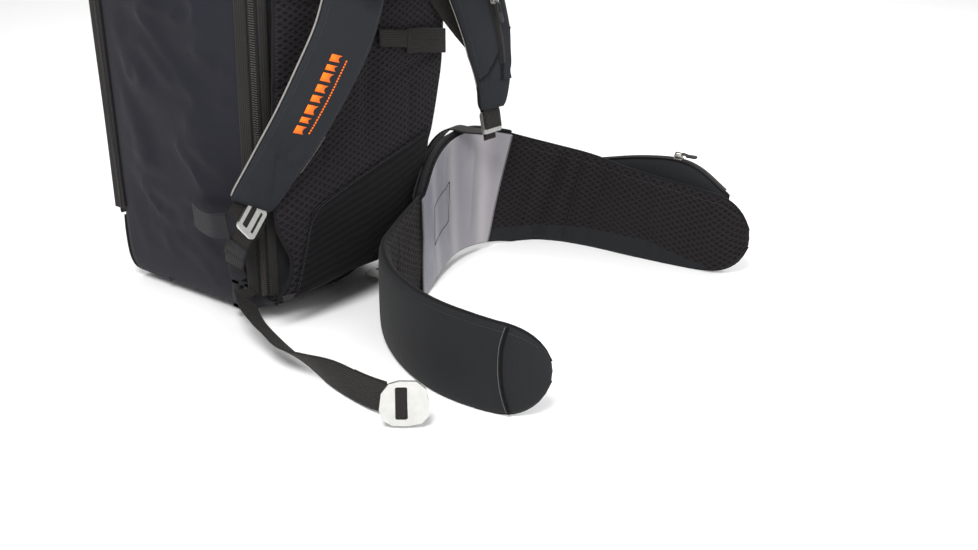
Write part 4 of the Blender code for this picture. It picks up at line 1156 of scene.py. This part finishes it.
def strap_webbing():
    """Webbing below and above the straps, keeper, compression straps and sewn tabs."""
    webbing_band("lower_webbing_near", [(-0.1545, -0.128, 0.116), (-0.153, -0.114, 0.099),
                                        (-0.1445, -0.1, 0.083), (-0.135, -0.088, 0.069)],
                 (0.02, 0.02), (-1, -0.6, 0.2), "lower_webbing_right")
    fixed_band("lower_webbing_far", [(0.161, -0.166, 0.156), (0.159, -0.143, 0.154),
                                     (0.156, -0.118, 0.153), (0.15, -0.099, 0.134),
                                     (0.142, -0.088, 0.1), (0.137, -0.084, 0.068)],
               (0.01, 0.001, 0), "lower_webbing_left")
    webbing_band("adjuster_tail", [(-0.164, -0.116, 0.124), (-0.164, -0.092, 0.119),
                                   (-0.153, -0.062, 0.115), (-0.14, -0.036, 0.113)],
                 (0.024, 0.024), (-1, 0, 0), "adjuster_tail_right", look=TAB)
    for tag, side, inset in (("near", RIGHT, 0.0), ("far", LEFT, 0.004)):
        node = "load_lifter_" + ("right" if side < 0 else "left")
        fixed_band("lifter_" + tag, [(side * 0.062, -0.1305, 0.528), (side * 0.06, -0.171, 0.488),
                                     (side * (0.052 + inset), -0.1975, 0.446)],
                   (0.01, 0, 0), node)
    fixed_band("keeper_band_inner", [(0.008, -0.1565, 0.283), (0.028, -0.156, 0.279),
                                     (0.048, -0.1548, 0.275)], (0, 0, 0.0085), None)
    keeper = fixed_band("keeper_band", [(0.05, -0.1535, 0.272), (0.07, -0.1545, 0.27),
                                        (0.092, -0.1535, 0.266), (0.112, -0.15, 0.262)],
                        (0, 0, 0.0125), "keeper_band_left")
    stitches("keeper_stitch", keeper, [(0.05, -0.7), (0.05, 0.7)])
    for tag, side in (("right", RIGHT), ("left", LEFT)):
        x = side_x(COMPRESSION_Z)
        fixed_band("compression_" + tag, [(side * (x + out), y, COMPRESSION_Z) for out, y in
                                          ((0.0055, -0.09), (0.0205, 0.005), (0.0055, 0.1))],
                   (0, 0, 0.01), "compression_strap_" + tag)
        buckle = [placed(brick(*size, 0.3), (side * (x + 0.0235), y, COMPRESSION_Z), BRICK_SIDE)
                  for size, y in (((0.036, 0.026, 0.005), 0.04), ((0.014, 0.02, 0.004), 0.012))]
        soften(join("compression_buckle_" + tag, buckle, PLASTIC, "pack"), 0.0008)
        loop = [placed(brick(w, h, 0.003, 0.2), (side * 0.12, -0.08 + dy, 0.03 + dz), BRICK_SIDE)
                for w, h, dy, dz in ((0.0112, 0.03, -0.0094, 0), (0.0112, 0.03, 0.0094, 0),
                                     (0.03, 0.0052, 0, 0.0134), (0.03, 0.0052, 0, -0.0134))]
        tab = join("hip_loop_tab_" + tag, loop, TAB, "pack")
        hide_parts("hip_loop_" + tag)
    webbing_band("hip_band_root", [(-0.1186, -0.078, 0.036), (-0.1225, -0.085, 0.0372),
                                   (-0.129, -0.093, 0.0368), (-0.1345, -0.1, 0.036)],
                 (0.018, 0.02), (-0.3, 0.2, 1), None, count=24)
    tab = webbing_band("side_tab_near", [(-0.1205, -0.07, 0.072), (-0.1208, -0.074, 0.055),
                                         (-0.1204, -0.079, 0.046)], (0.022, 0.026), (-1, 0, 0), None,
                       look=TAB, count=20)
    stitches("side_tab_stitch", tab, [(0.1, -0.8), (0.1, 0.8)])
    webbing_band("shoulder_stay_band", [(0.094, -0.156, 0.318), (0.106, -0.162, 0.297),
                                        (0.119, -0.17, 0.276), (0.131, -0.178, 0.258)],
                 (0.026, 0.024), (-0.35, -1, 0.1), None, count=40)


HIP_ROUTE = [(-0.1345, -0.1, 0.036), (-0.142, -0.114, 0.031), (-0.1495, -0.132, 0.026),
             (-0.158, -0.1635, 0.02), (-0.166, -0.1965, 0.0155), (-0.1712, -0.231, 0.0155),
             (-0.1757, -0.2682, 0.0165), (-0.1816, -0.3088, 0.017), (-0.1861, -0.344, 0.02)]
HIP_ANGLES = (44, 42, 38, 36, 36, 58, 86, 92, 88)
FAR_HIP_ROUTE = [(0.131, -0.093, 0.036), (0.133, -0.101, 0.026), (0.129, -0.106, 0.013),
                 (0.118, -0.106, 0.004), (0.108, -0.103, 0.0022), (0.098, -0.1, 0.0022)]
FAR_HIP_ANGLES = (80, 70, 30, 6, 0, 0)


def turning_band(name, route, angles, width):
    """Band whose across direction rises by an angle from the floor, level side out."""
    rows = spread([(*p, a) for p, a in zip(route, angles)], 90)
    points = rows[:, :3]
    ahead = np.gradient(points, axis=0) * (1, 1, 0)
    level = unit(np.cross(ahead, (0, 0, 1)))
    tilt = np.radians(rows[:, 3])[:, None]
    across = level * np.cos(tilt) + np.array((0, 0, 1)) * np.sin(tilt)
    rows = np.concatenate([points, across * width / 2], axis=1)
    dent = 0.0005 * rough_at(band_grid(rows, 11), 0.025, 60.0)
    return ribbon(name, rows, WEB_THICK, "pack", WEBBING, 11, 0.5, dent), points


def hip_webbing():
    """Loose hip webbing on both sides; the near one is a cord for the physics."""
    near, path = turning_band("hip_band_near", HIP_ROUTE, HIP_ANGLES, 0.03)
    stitches("hip_band_stitch", near, [(0.925, -0.75), (0.925, 0.75)])
    layer, _ = near.trace([(0.8, 0.0), (0.985, 0.0)], 0.0016, 24, "back")
    rows = aimed(layer, (0.028, 0.029), near.at(0.9, 0, 0, "back")[1])
    fold = ribbon("hip_band_fold", rows, WEB_THICK, round_edge=0.5)
    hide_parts("hip_webbing_right")
    far, _ = turning_band("hip_band_far", FAR_HIP_ROUTE, FAR_HIP_ANGLES, 0.02)
    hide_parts("hip_webbing_left")


WING_RIGHT = [(-0.09, -0.45, 0.027, 0.062), (-0.1, -0.44, 0.012, 0.078),
              (-0.112, -0.418, 0.003, 0.086), (-0.118, -0.385, 0.001, 0.089),
              (-0.116, -0.34, 0.001, 0.09), (-0.1, -0.29, 0.001, 0.089),
              (-0.071, -0.239, 0.001, 0.088), (-0.034, -0.197, 0.001, 0.091),
              (0.009, -0.177, 0.001, 0.099), (0.05, -0.1665, 0.002, 0.11)]
CENTRE = [(0.0583, -0.1637, 0.002, 0.116), (0.0873, -0.1497, 0.006, 0.135),
          (0.1205, -0.1357, 0.011, 0.144), (0.1536, -0.1259, 0.013, 0.147),
          (0.1878, -0.1217, 0.011, 0.145), (0.2199, -0.1238, 0.007, 0.137),
          (0.2407, -0.129, 0.003, 0.131)]
WING_LEFT = [(0.2479, -0.1321, 0.001, 0.128), (0.2676, -0.1455, 0.001, 0.12),
             (0.2821, -0.1704, 0.001, 0.114), (0.2914, -0.2119, 0.001, 0.109),
             (0.2956, -0.2616, 0.001, 0.101), (0.3007, -0.3082, 0.001, 0.096),
             (0.307, -0.3496, 0.002, 0.091), (0.313, -0.383, 0.008, 0.083),
             (0.3165, -0.405, 0.022, 0.062)]
POCKET = [(0.2914, -0.2119, 0.012, 0.099), (0.2956, -0.2616, 0.01, 0.11),
          (0.3007, -0.3082, 0.01, 0.115), (0.305, -0.338, 0.012, 0.1085),
          (0.3095, -0.372, 0.02, 0.086)]
BELT_FINE = spread([(x, y, 0, low, high) for x, y, low, high in WING_RIGHT + CENTRE + WING_LEFT], 900)
BELT_RUN = np.r_[0, np.cumsum(np.linalg.norm(np.diff(BELT_FINE[:, :3], axis=0), axis=1))]
BELT_LENGTH = float(BELT_RUN[-1])
TIP = 0.048


def along_belt(x, y):
    """Distance along the belt of the plan point nearest to (x, y)."""
    return float(BELT_RUN[np.argmin(np.hypot(BELT_FINE[:, 0] - x, BELT_FINE[:, 1] - y))])


def belt_grid(first, last, n, m, offset=0.0, split=None, lean=0.0, lean_first=0.0):
    """Upright grid between two distances along the belt; its ends may lean with height.

    split gives the height share of the grid's third row, and the tips close as half ellipses.
    """
    w = np.repeat(np.linspace(0, 1, m)[None, :], n, axis=0)
    if split is not None:
        third = m // 3
        steps = np.r_[np.linspace(0, 1, third + 1), np.ones(m - third - 1)][None, :]
        after = np.r_[np.zeros(third + 1), np.linspace(0, 1, m - third)[1:]][None, :]
        w = split[:, None] * steps + (1 - split[:, None]) * after
    s = np.linspace(0, 1, n)[:, None]
    run = (first + lean_first * (w - 1)) * (1 - s) + (last + lean * (w - 1)) * s
    place = [np.interp(run, BELT_RUN, BELT_FINE[:, k]) for k in (0, 1, 3, 4)]
    step = 0.004
    ahead = unit(np.stack([np.interp(run + step, BELT_RUN, BELT_FINE[:, k])
                           - np.interp(run - step, BELT_RUN, BELT_FINE[:, k]) for k in (0, 1)], axis=2))
    from_tip = np.minimum(run, BELT_LENGTH - run)
    close = (1 - (1 - (from_tip / TIP).clip(0.02, 1)) ** 2) ** 0.5
    root = np.where(run < BELT_LENGTH / 2, TIP, BELT_LENGTH - TIP)
    inner = [np.interp(root, BELT_RUN, BELT_FINE[:, k]) for k in (3, 4)]
    middle, half = (inner[0] + inner[1]) / 2, (inner[1] - inner[0]) / 2 * close
    low = np.where(from_tip < TIP, middle - half, place[2])
    high = np.where(from_tip < TIP, middle + half, place[3])
    x = place[0] - ahead[..., 1] * offset
    y = place[1] + ahead[..., 0] * offset
    return np.stack([x, y, low + (high - low) * w], axis=2)


def plan_grid(plan, n, m, offset):
    """Upright grid over a short plan of its own."""
    rows = spread([(x, y, 0, low, high) for x, y, low, high in plan], n)
    ahead = unit(np.gradient(rows[:, :3], axis=0))
    outward = np.stack([-ahead[:, 1], ahead[:, 0], np.zeros(n)], axis=1)
    w = np.linspace(0, 1, m)[None, :]
    grid = np.zeros((n, m, 3))
    grid[..., :2] = rows[:, None, :2]
    grid[..., 2] = rows[:, 3:4] + (rows[:, 4:5] - rows[:, 3:4]) * w
    return grid + outward[:, None, :] * offset


def wing(tag, grid, thin_end, band=None, folds=()):
    """Foam wing with mesh inside and soft shell outside; thin_end is the end at the centre pad."""
    n, m, _ = grid.shape
    s, t = axes(n, m)
    share = s if thin_end == 1 else 1 - s
    thick = crowned(n, m, 0.0125, 0.005, 4.5, (0.05, 0.0) if thin_end == 1 else (0.0, 0.05))
    thick = thick * (1 - 0.42 * ramp(share - 0.86, 0.14))
    upright = creases(grid, 0.05, 3.0 if tag == "right" else 11.0, (1.3, 1.3, 0.4))
    dent = 0.0016 * rough_at(grid, 0.055, 2.0) - 0.002 * upright
    for at, width, depth, lean in folds:
        dent = dent + depth * bell(s + lean * t, at, width)
    dent = dent * (1 - t ** 6)
    pad = Slab("belt_wing_" + tag, grid, thick, [WING_MESH, BELT_OUTER, BINDING], dent, None, False,
               "strap_fabric", 0.6)
    if band:
        ids = np.zeros(len(pad.obj.data.polygons), int)
        pad.obj.data.polygons.foreach_get("material_index", ids)
        inside = np.zeros((n - 1, m - 1, 2), int)
        inside[..., 1] = 1
        inside[:int(band * (n - 1)), :m // 3, 0] = 1
        ids[:(n - 1) * (m - 1) * 2] = inside.ravel()
        pad.obj.data.polygons.foreach_set("material_index", ids)
    grip = np.broadcast_to((np.abs(t) > 0.93) | (s < 0.03) | (s > 0.97), (n, m)).astype(float).ravel()
    held = np.r_[grip, grip, np.ones(len(pad.obj.data.vertices) - 2 * n * m)]
    puff(pad, 3.5, 0.0035, held, 12, 10.0, 0.3)
    return pad


def hip_belt():
    """Both wings with their piping and stitches, and the centre."""
    seam_right = along_belt(0.049, -0.1667)
    seam_left = along_belt(0.246, -0.1312)
    near = wing("right", belt_grid(0.0, seam_right, 150, 48), 1)
    share = np.linspace(0, 1, 150)
    split = np.interp(share, (0.0, 0.16, 0.34, 0.5, 0.64, 0.78, 0.86, 1.0),
                      (0.1, 0.15, 0.19, 0.225, 0.235, 0.12, 0.06, 0.06))
    far = wing("left", belt_grid(seam_left, BELT_LENGTH, 150, 48, split=split, lean_first=SEAM_LEAN), 0,
               0.86, FAR_FOLDS)
    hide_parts("belt_wing_right")
    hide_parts("belt_wing_left")
    near_parts, far_parts = [near.obj], [far.obj]
    for tag, pad, parts in (("near", near, near_parts), ("far", far, far_parts)):
        for t, name in ((0.995, "top"), (-0.995, "low")):
            parts.append(edge_rope("belt_%s_piping_%s" % (tag, name), pad, t, BINDING, None, 0.0014,
                                   0.0, 1.0, 0.001))
        for side in ("front", "back"):
            parts.append(stitches("belt_%s_stitch_%s" % (tag, side), pad, [(0.03, 0.88), (0.97, 0.88)],
                                  None, 140, side))
    # belt_near_slit is a near-black cord of painted shadow along the slit's opening.
    for name, line, lift, radius, look in (
            ("belt_near_slit", [(0.1, 0.99), (0.112, 0.45), (0.112, -0.25), (0.096, -0.99)], 0.0002,
             0.0018, PAINTED_SHADOW_GAP),
            ("belt_near_slit_edge", [(0.106, 0.98), (0.119, 0.45), (0.119, -0.25), (0.102, -0.98)], 0.0003,
             0.0004, SEAM_PALE)):
        near_parts.append(drawn(name, near, line, lift, 70, radius, look, None, side="back"))
    for obj in near_parts:
        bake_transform(obj)
    for obj in far_parts:
        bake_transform(obj)
    belt_centre(seam_right, seam_left)
    belt_pocket()


SEAM_LEAN = 0.038
FAR_FOLDS = ((0.12, 0.014, -0.0034, 0.01), (0.165, 0.012, 0.003, 0.008), (0.205, 0.01, -0.0042, -0.006),
             (0.25, 0.014, 0.0034, -0.01), (0.3, 0.01, -0.004, 0.004), (0.345, 0.016, 0.0024, 0.012),
             (0.4, 0.012, -0.0026, -0.012), (0.62, 0.03, -0.0018, 0.02))


def belt_centre(first, last):
    """Grey satin panel over the stiffened centre, with its outer cover and edge piping."""
    n, m = 110, 60
    t = np.linspace(-1, 1, m)[None, :]
    inside = 0.0015
    grid = belt_grid(first + 0.004, last - inside, n, m, 0.0012, lean=SEAM_LEAN)
    pad = Slab("belt_centre_core", grid, crowned(n, m, 0.008, 0.006, 6.0, (0.0, 0.0)),
               [WING_MESH, WING_MESH, BINDING], None, "belt_centre")
    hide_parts("belt_centre_pad")
    grid = belt_grid(first - 0.002, last - inside, n, m, -0.0046, lean=SEAM_LEAN)
    dent = 0.0016 * rough_at(grid, 0.05, 6.0, (1, 1, 0.5))
    dent = dent + 0.002 * (creases(grid, 0.07, 2.0, (1, 1, 0.35)) - 0.2)
    dent = dent * (1 - t ** 6)
    cover = Slab("belt_centre_cover", grid, 0.0018, [GREY, GREY, BINDING], dent, "belt_centre", False,
                 "belt_grey")
    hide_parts("belt_cover_inner")
    grid = belt_grid(first + 0.004, last - inside, n, m, 0.0078, lean=SEAM_LEAN)
    outer = Slab("belt_back_cover", grid, 0.0016, [BELT_OUTER], 0.0005 * rough_at(grid, 0.05, 16.0),
                 "belt_centre", False, "belt_grey")
    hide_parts("belt_cover_outer", "belt_stiffener")
    edge_rope("belt_centre_piping_top", pad, 0.995, BINDING, "belt_centre", 0.003, 0.0, 1.0, 0.0018)
    edge_rope("belt_centre_piping_low", pad, -0.995, BINDING, "belt_centre", 0.002, 0.0, 1.0, 0.001)
    for k, s0 in enumerate((0.004, 0.996)):
        drawn("belt_centre_seam_%d" % k, cover, [(s0, -0.98), (s0, 0.98)], 0.0004, 50, 0.0007, SEAM_PALE,
              "belt_centre")
    corners = ((0.205, -0.36), (0.205, 0.3), (0.46, 0.34), (0.47, -0.3))
    for k in range(4):
        drawn("belt_label_groove_%d" % k, cover, [corners[k], corners[(k + 1) % 4]], 0.0, 30, 0.0005,
              THREAD, "belt_centre", 6)


def belt_pocket():
    """Pouch on the left wing with its zip along the top."""
    n, m = 90, 44
    grid = plan_grid(POCKET, n, m, 0.0175)
    thick = crowned(n, m, 0.02, 0.008, 3.0, (0.1, 0.1))
    pouch = Slab("belt_pocket_shell", grid, thick, [BELT_OUTER, CHARCOAL, BINDING], None, "wing_left",
                 False, "strap_fabric", 0.8)
    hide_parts("belt_pocket")
    drawn("belt_pocket_seam", pouch, [(0.02, 0.9), (0.98, 0.9)], 0.0006, 60, 0.0014, body="wing_left",
          side="back")
    top = [(pouch.at(s, 1.0)[0] + pouch.at(s, 1.0, 0, "back")[0]) / 2 + (0, 0, 0.0022)
           for s in np.linspace(0.02, 0.98, 70)]
    zipper("belt_pocket_zip", np.array(top), np.broadcast_to((0, 0, 1.0), (70, 3)), 0.0044, "wing_left")
    slider("belt_slider_body", "belt_pocket_slider", "belt_slider", (0.319, -0.31, 0.1196),
           (0, 0, math.radians(7)), CABLE, 0.012)


# ------------------------------------------------------------------ hardware
def hardware():
    """Looks of the hard CAD pieces, and the sternum strap's webbing."""
    for look, width, nodes in (
            (ALUMINIUM, 0.0007, ("hook_buckle_right", "hook_buckle_left", "hip_buckle_right",
                                 "hip_buckle_left")),
            (PLASTIC, 0.0006, ("load_lifter_lock_right", "load_lifter_lock_left", "sternum_clip_male",
                               "sternum_clip_female")),
            (PLASTIC, 0.0015, ("inflation_unit",)), (CARTRIDGE, None, ("gas_cartridge",)),
            (BRASS, 0.0005, ("pressure_gauge",)), (STEEL, 0.0004, ("firing_lever",)),
            (ALUMINIUM, None, ("frame_stay_right", "frame_stay_left")),
            (CABLE, None, ("trigger_cable",)), (GRIP, 0.0006, ("trigger_handle",))):
        for node in nodes:
            restyle(node, look, width)
    for tag in ("right", "left"):
        lo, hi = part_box("sternum_webbing_" + tag)
        points = np.stack([np.linspace(lo[0], hi[0], 40), np.full(40, (lo[1] + hi[1]) / 2),
                           np.full(40, (lo[2] + hi[2]) / 2)], axis=1)
        points[:, 1] -= 0.0006 * np.sin(np.linspace(0, 9, 40))
        band = ribbon("sternum_band_" + tag, ruled(points, (0, 0, 0.01)), 0.0016, "sternum_" + tag, WEBBING,
                      9, 0.5)
        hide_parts("sternum_webbing_" + tag)


HOOKS = {"near": ((-0.148, -0.1325, 0.13), (1.25, -0.62, 0.25), "hook_right"),
         "far": ((0.162, -0.17, 0.1685), (1.35, 0.05, 0.1), "hook_left"),
         "hip": ((-0.1892, -0.3651, 0.024), (math.radians(86), 0, math.radians(-48)), "hip_hook_right")}


def buckle_web(name, buckle, x, half_x, route, body=None, thick=0.0022):
    """Webbing in a buckle's slot: route holds (local y, local z) points of its middle line."""
    centre, turn, rides = HOOKS[buckle]
    turn = np.array(Euler(turn).to_matrix())
    line = spread([(x, y, z) for y, z in route], 24) @ turn.T + np.array(centre)
    band = ribbon(name, ruled(line, turn[:, 0] * half_x), thick, None if body else rides, WEBBING, 9, 0.3)
    if body:
        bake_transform(band.obj)


def buckle_loops():
    """Webbing in the slots of the strap hooks and of the plate buckle."""
    for tag in ("near", "far"):
        buckle_web("hook_web_" + tag, tag, 0, 0.0112, ((0.0018, 0.0), (0.0045, 0.0006), (0.0072, 0.0)))
        buckle_web("hook_tail_" + tag, tag, 0, 0.0112, ((-0.0071, 0.0), (-0.006, 0.0), (-0.0049, 0.0)))
        buckle_web("hook_strap_" + tag, tag, 0, 0.0105,
                   ((0.006, -0.003), (0.014, -0.0034), (0.024, -0.004)), "pack", 0.0015)
        buckle_web("hook_drop_" + tag, tag, 0, 0.0105,
                   ((-0.0062, -0.0026), (-0.012, -0.004), (-0.019, -0.0046)), "pack", 0.0015)
    buckle_web("hook_wrap_far", "far", 0, 0.014,
               ((-0.007, 0.003), (0.004, 0.0034), (0.0125, 0.0032), (0.022, -0.001)), "pack", 0.0015)
    buckle_web("hip_buckle_web", "hip", -0.0015, 0.005, ((-0.0142, 0.0), (0.0, 0.0004), (0.0142, 0.0)))


def bar_tack():
    """Sewn joint between the hook buckle's webbing and the tab below it."""
    points = spread([(-0.1535, -0.1175, 0.103), (-0.148, -0.106, 0.0915), (-0.144, -0.099, 0.083)], 20)
    rows = aimed(points, (0.0225, 0.0225), np.array((-1, -0.6, 0.2)))
    rows[:, :3] += unit(np.array((-1, -0.6, 0.2))) * 0.0018
    patch = ribbon("near_tab_patch", rows, 0.0018, look=TAB, round_edge=0.5)
    for k, s in enumerate((0.04, 0.12, 0.88, 0.96)):
        stitches("near_bartack_%d" % k, patch, [(s, -0.86), (s, 0.86)], pitch=0.0026)


# ------------------------------------------------------------------ stage
def light(name, where, aim, size, power):
    lamp = bpy.data.lights.new(name, "AREA")
    lamp.shape = "DISK"
    lamp.size = size
    lamp.energy = power
    obj = bpy.data.objects.new(name, lamp)
    bpy.context.scene.collection.objects.link(obj)
    obj.location = where
    obj.rotation_euler = (Vector(aim) - Vector(where)).to_track_quat("-Z", "Y").to_euler()


def studio():
    world = bpy.data.worlds.new("studio_world")
    world.use_nodes = True
    back = world.node_tree.nodes["Background"]
    back.inputs[0].default_value = (1.0, 1.0, 1.0, 1)
    back.inputs[1].default_value = 0.66
    bpy.context.scene.world = world
    light("key", (-1.2, -0.9, 1.6), (0, -0.1, 0.2), 0.8, 44)
    light("front", (-0.3, -1.9, 0.9), (0, -0.1, 0.2), 1.2, 11)
    light("rim", (1.3, 0.3, 1.5), (0, -0.1, 0.2), 1.2, 16)
    far, down = 30.0, -0.0005
    data = bpy.data.meshes.new("floor")
    data.from_pydata([(-far, -far, down), (far, -far, down), (far, far, down), (-far, far, down)], [],
                     [(0, 1, 2, 3)])
    pale = Look("floor_white", (0.93, 0.93, 0.93), 0.9)
    pale.paint(pale.mix(pale.noise(2.0), (0.92, 0.92, 0.92), (0.94, 0.94, 0.94)))
    data.materials.append(pale.mat)
    floor = bpy.data.objects.new("floor", data)
    bpy.context.scene.collection.objects.link(floor)
    bpy.context.scene.view_settings.view_transform = "Standard"


def camera():
    data = bpy.data.cameras.new("camera")
    data.lens = 55.5
    data.sensor_width = 36
    obj = bpy.data.objects.new("camera", data)
    azimuth, elevation = math.radians(-50), math.radians(21)
    back = Vector((math.sin(azimuth) * math.cos(elevation), -math.cos(azimuth) * math.cos(elevation),
                   math.sin(elevation)))
    obj.location = (-1.04498, -1.18038, 0.59554)
    obj.rotation_euler = back.to_track_quat("Z", "Y").to_euler()
    bpy.context.scene.collection.objects.link(obj)
    bpy.context.scene.camera = obj


camera()
hip_webbing()
bag_shell()
door_panel()
divider_panel()
airbag_cover()
collar()
back_panel()
corner_zips()
shoulder_straps()
strap_webbing()
bar_tack()
buckle_loops()
hip_belt()
hardware()
studio()
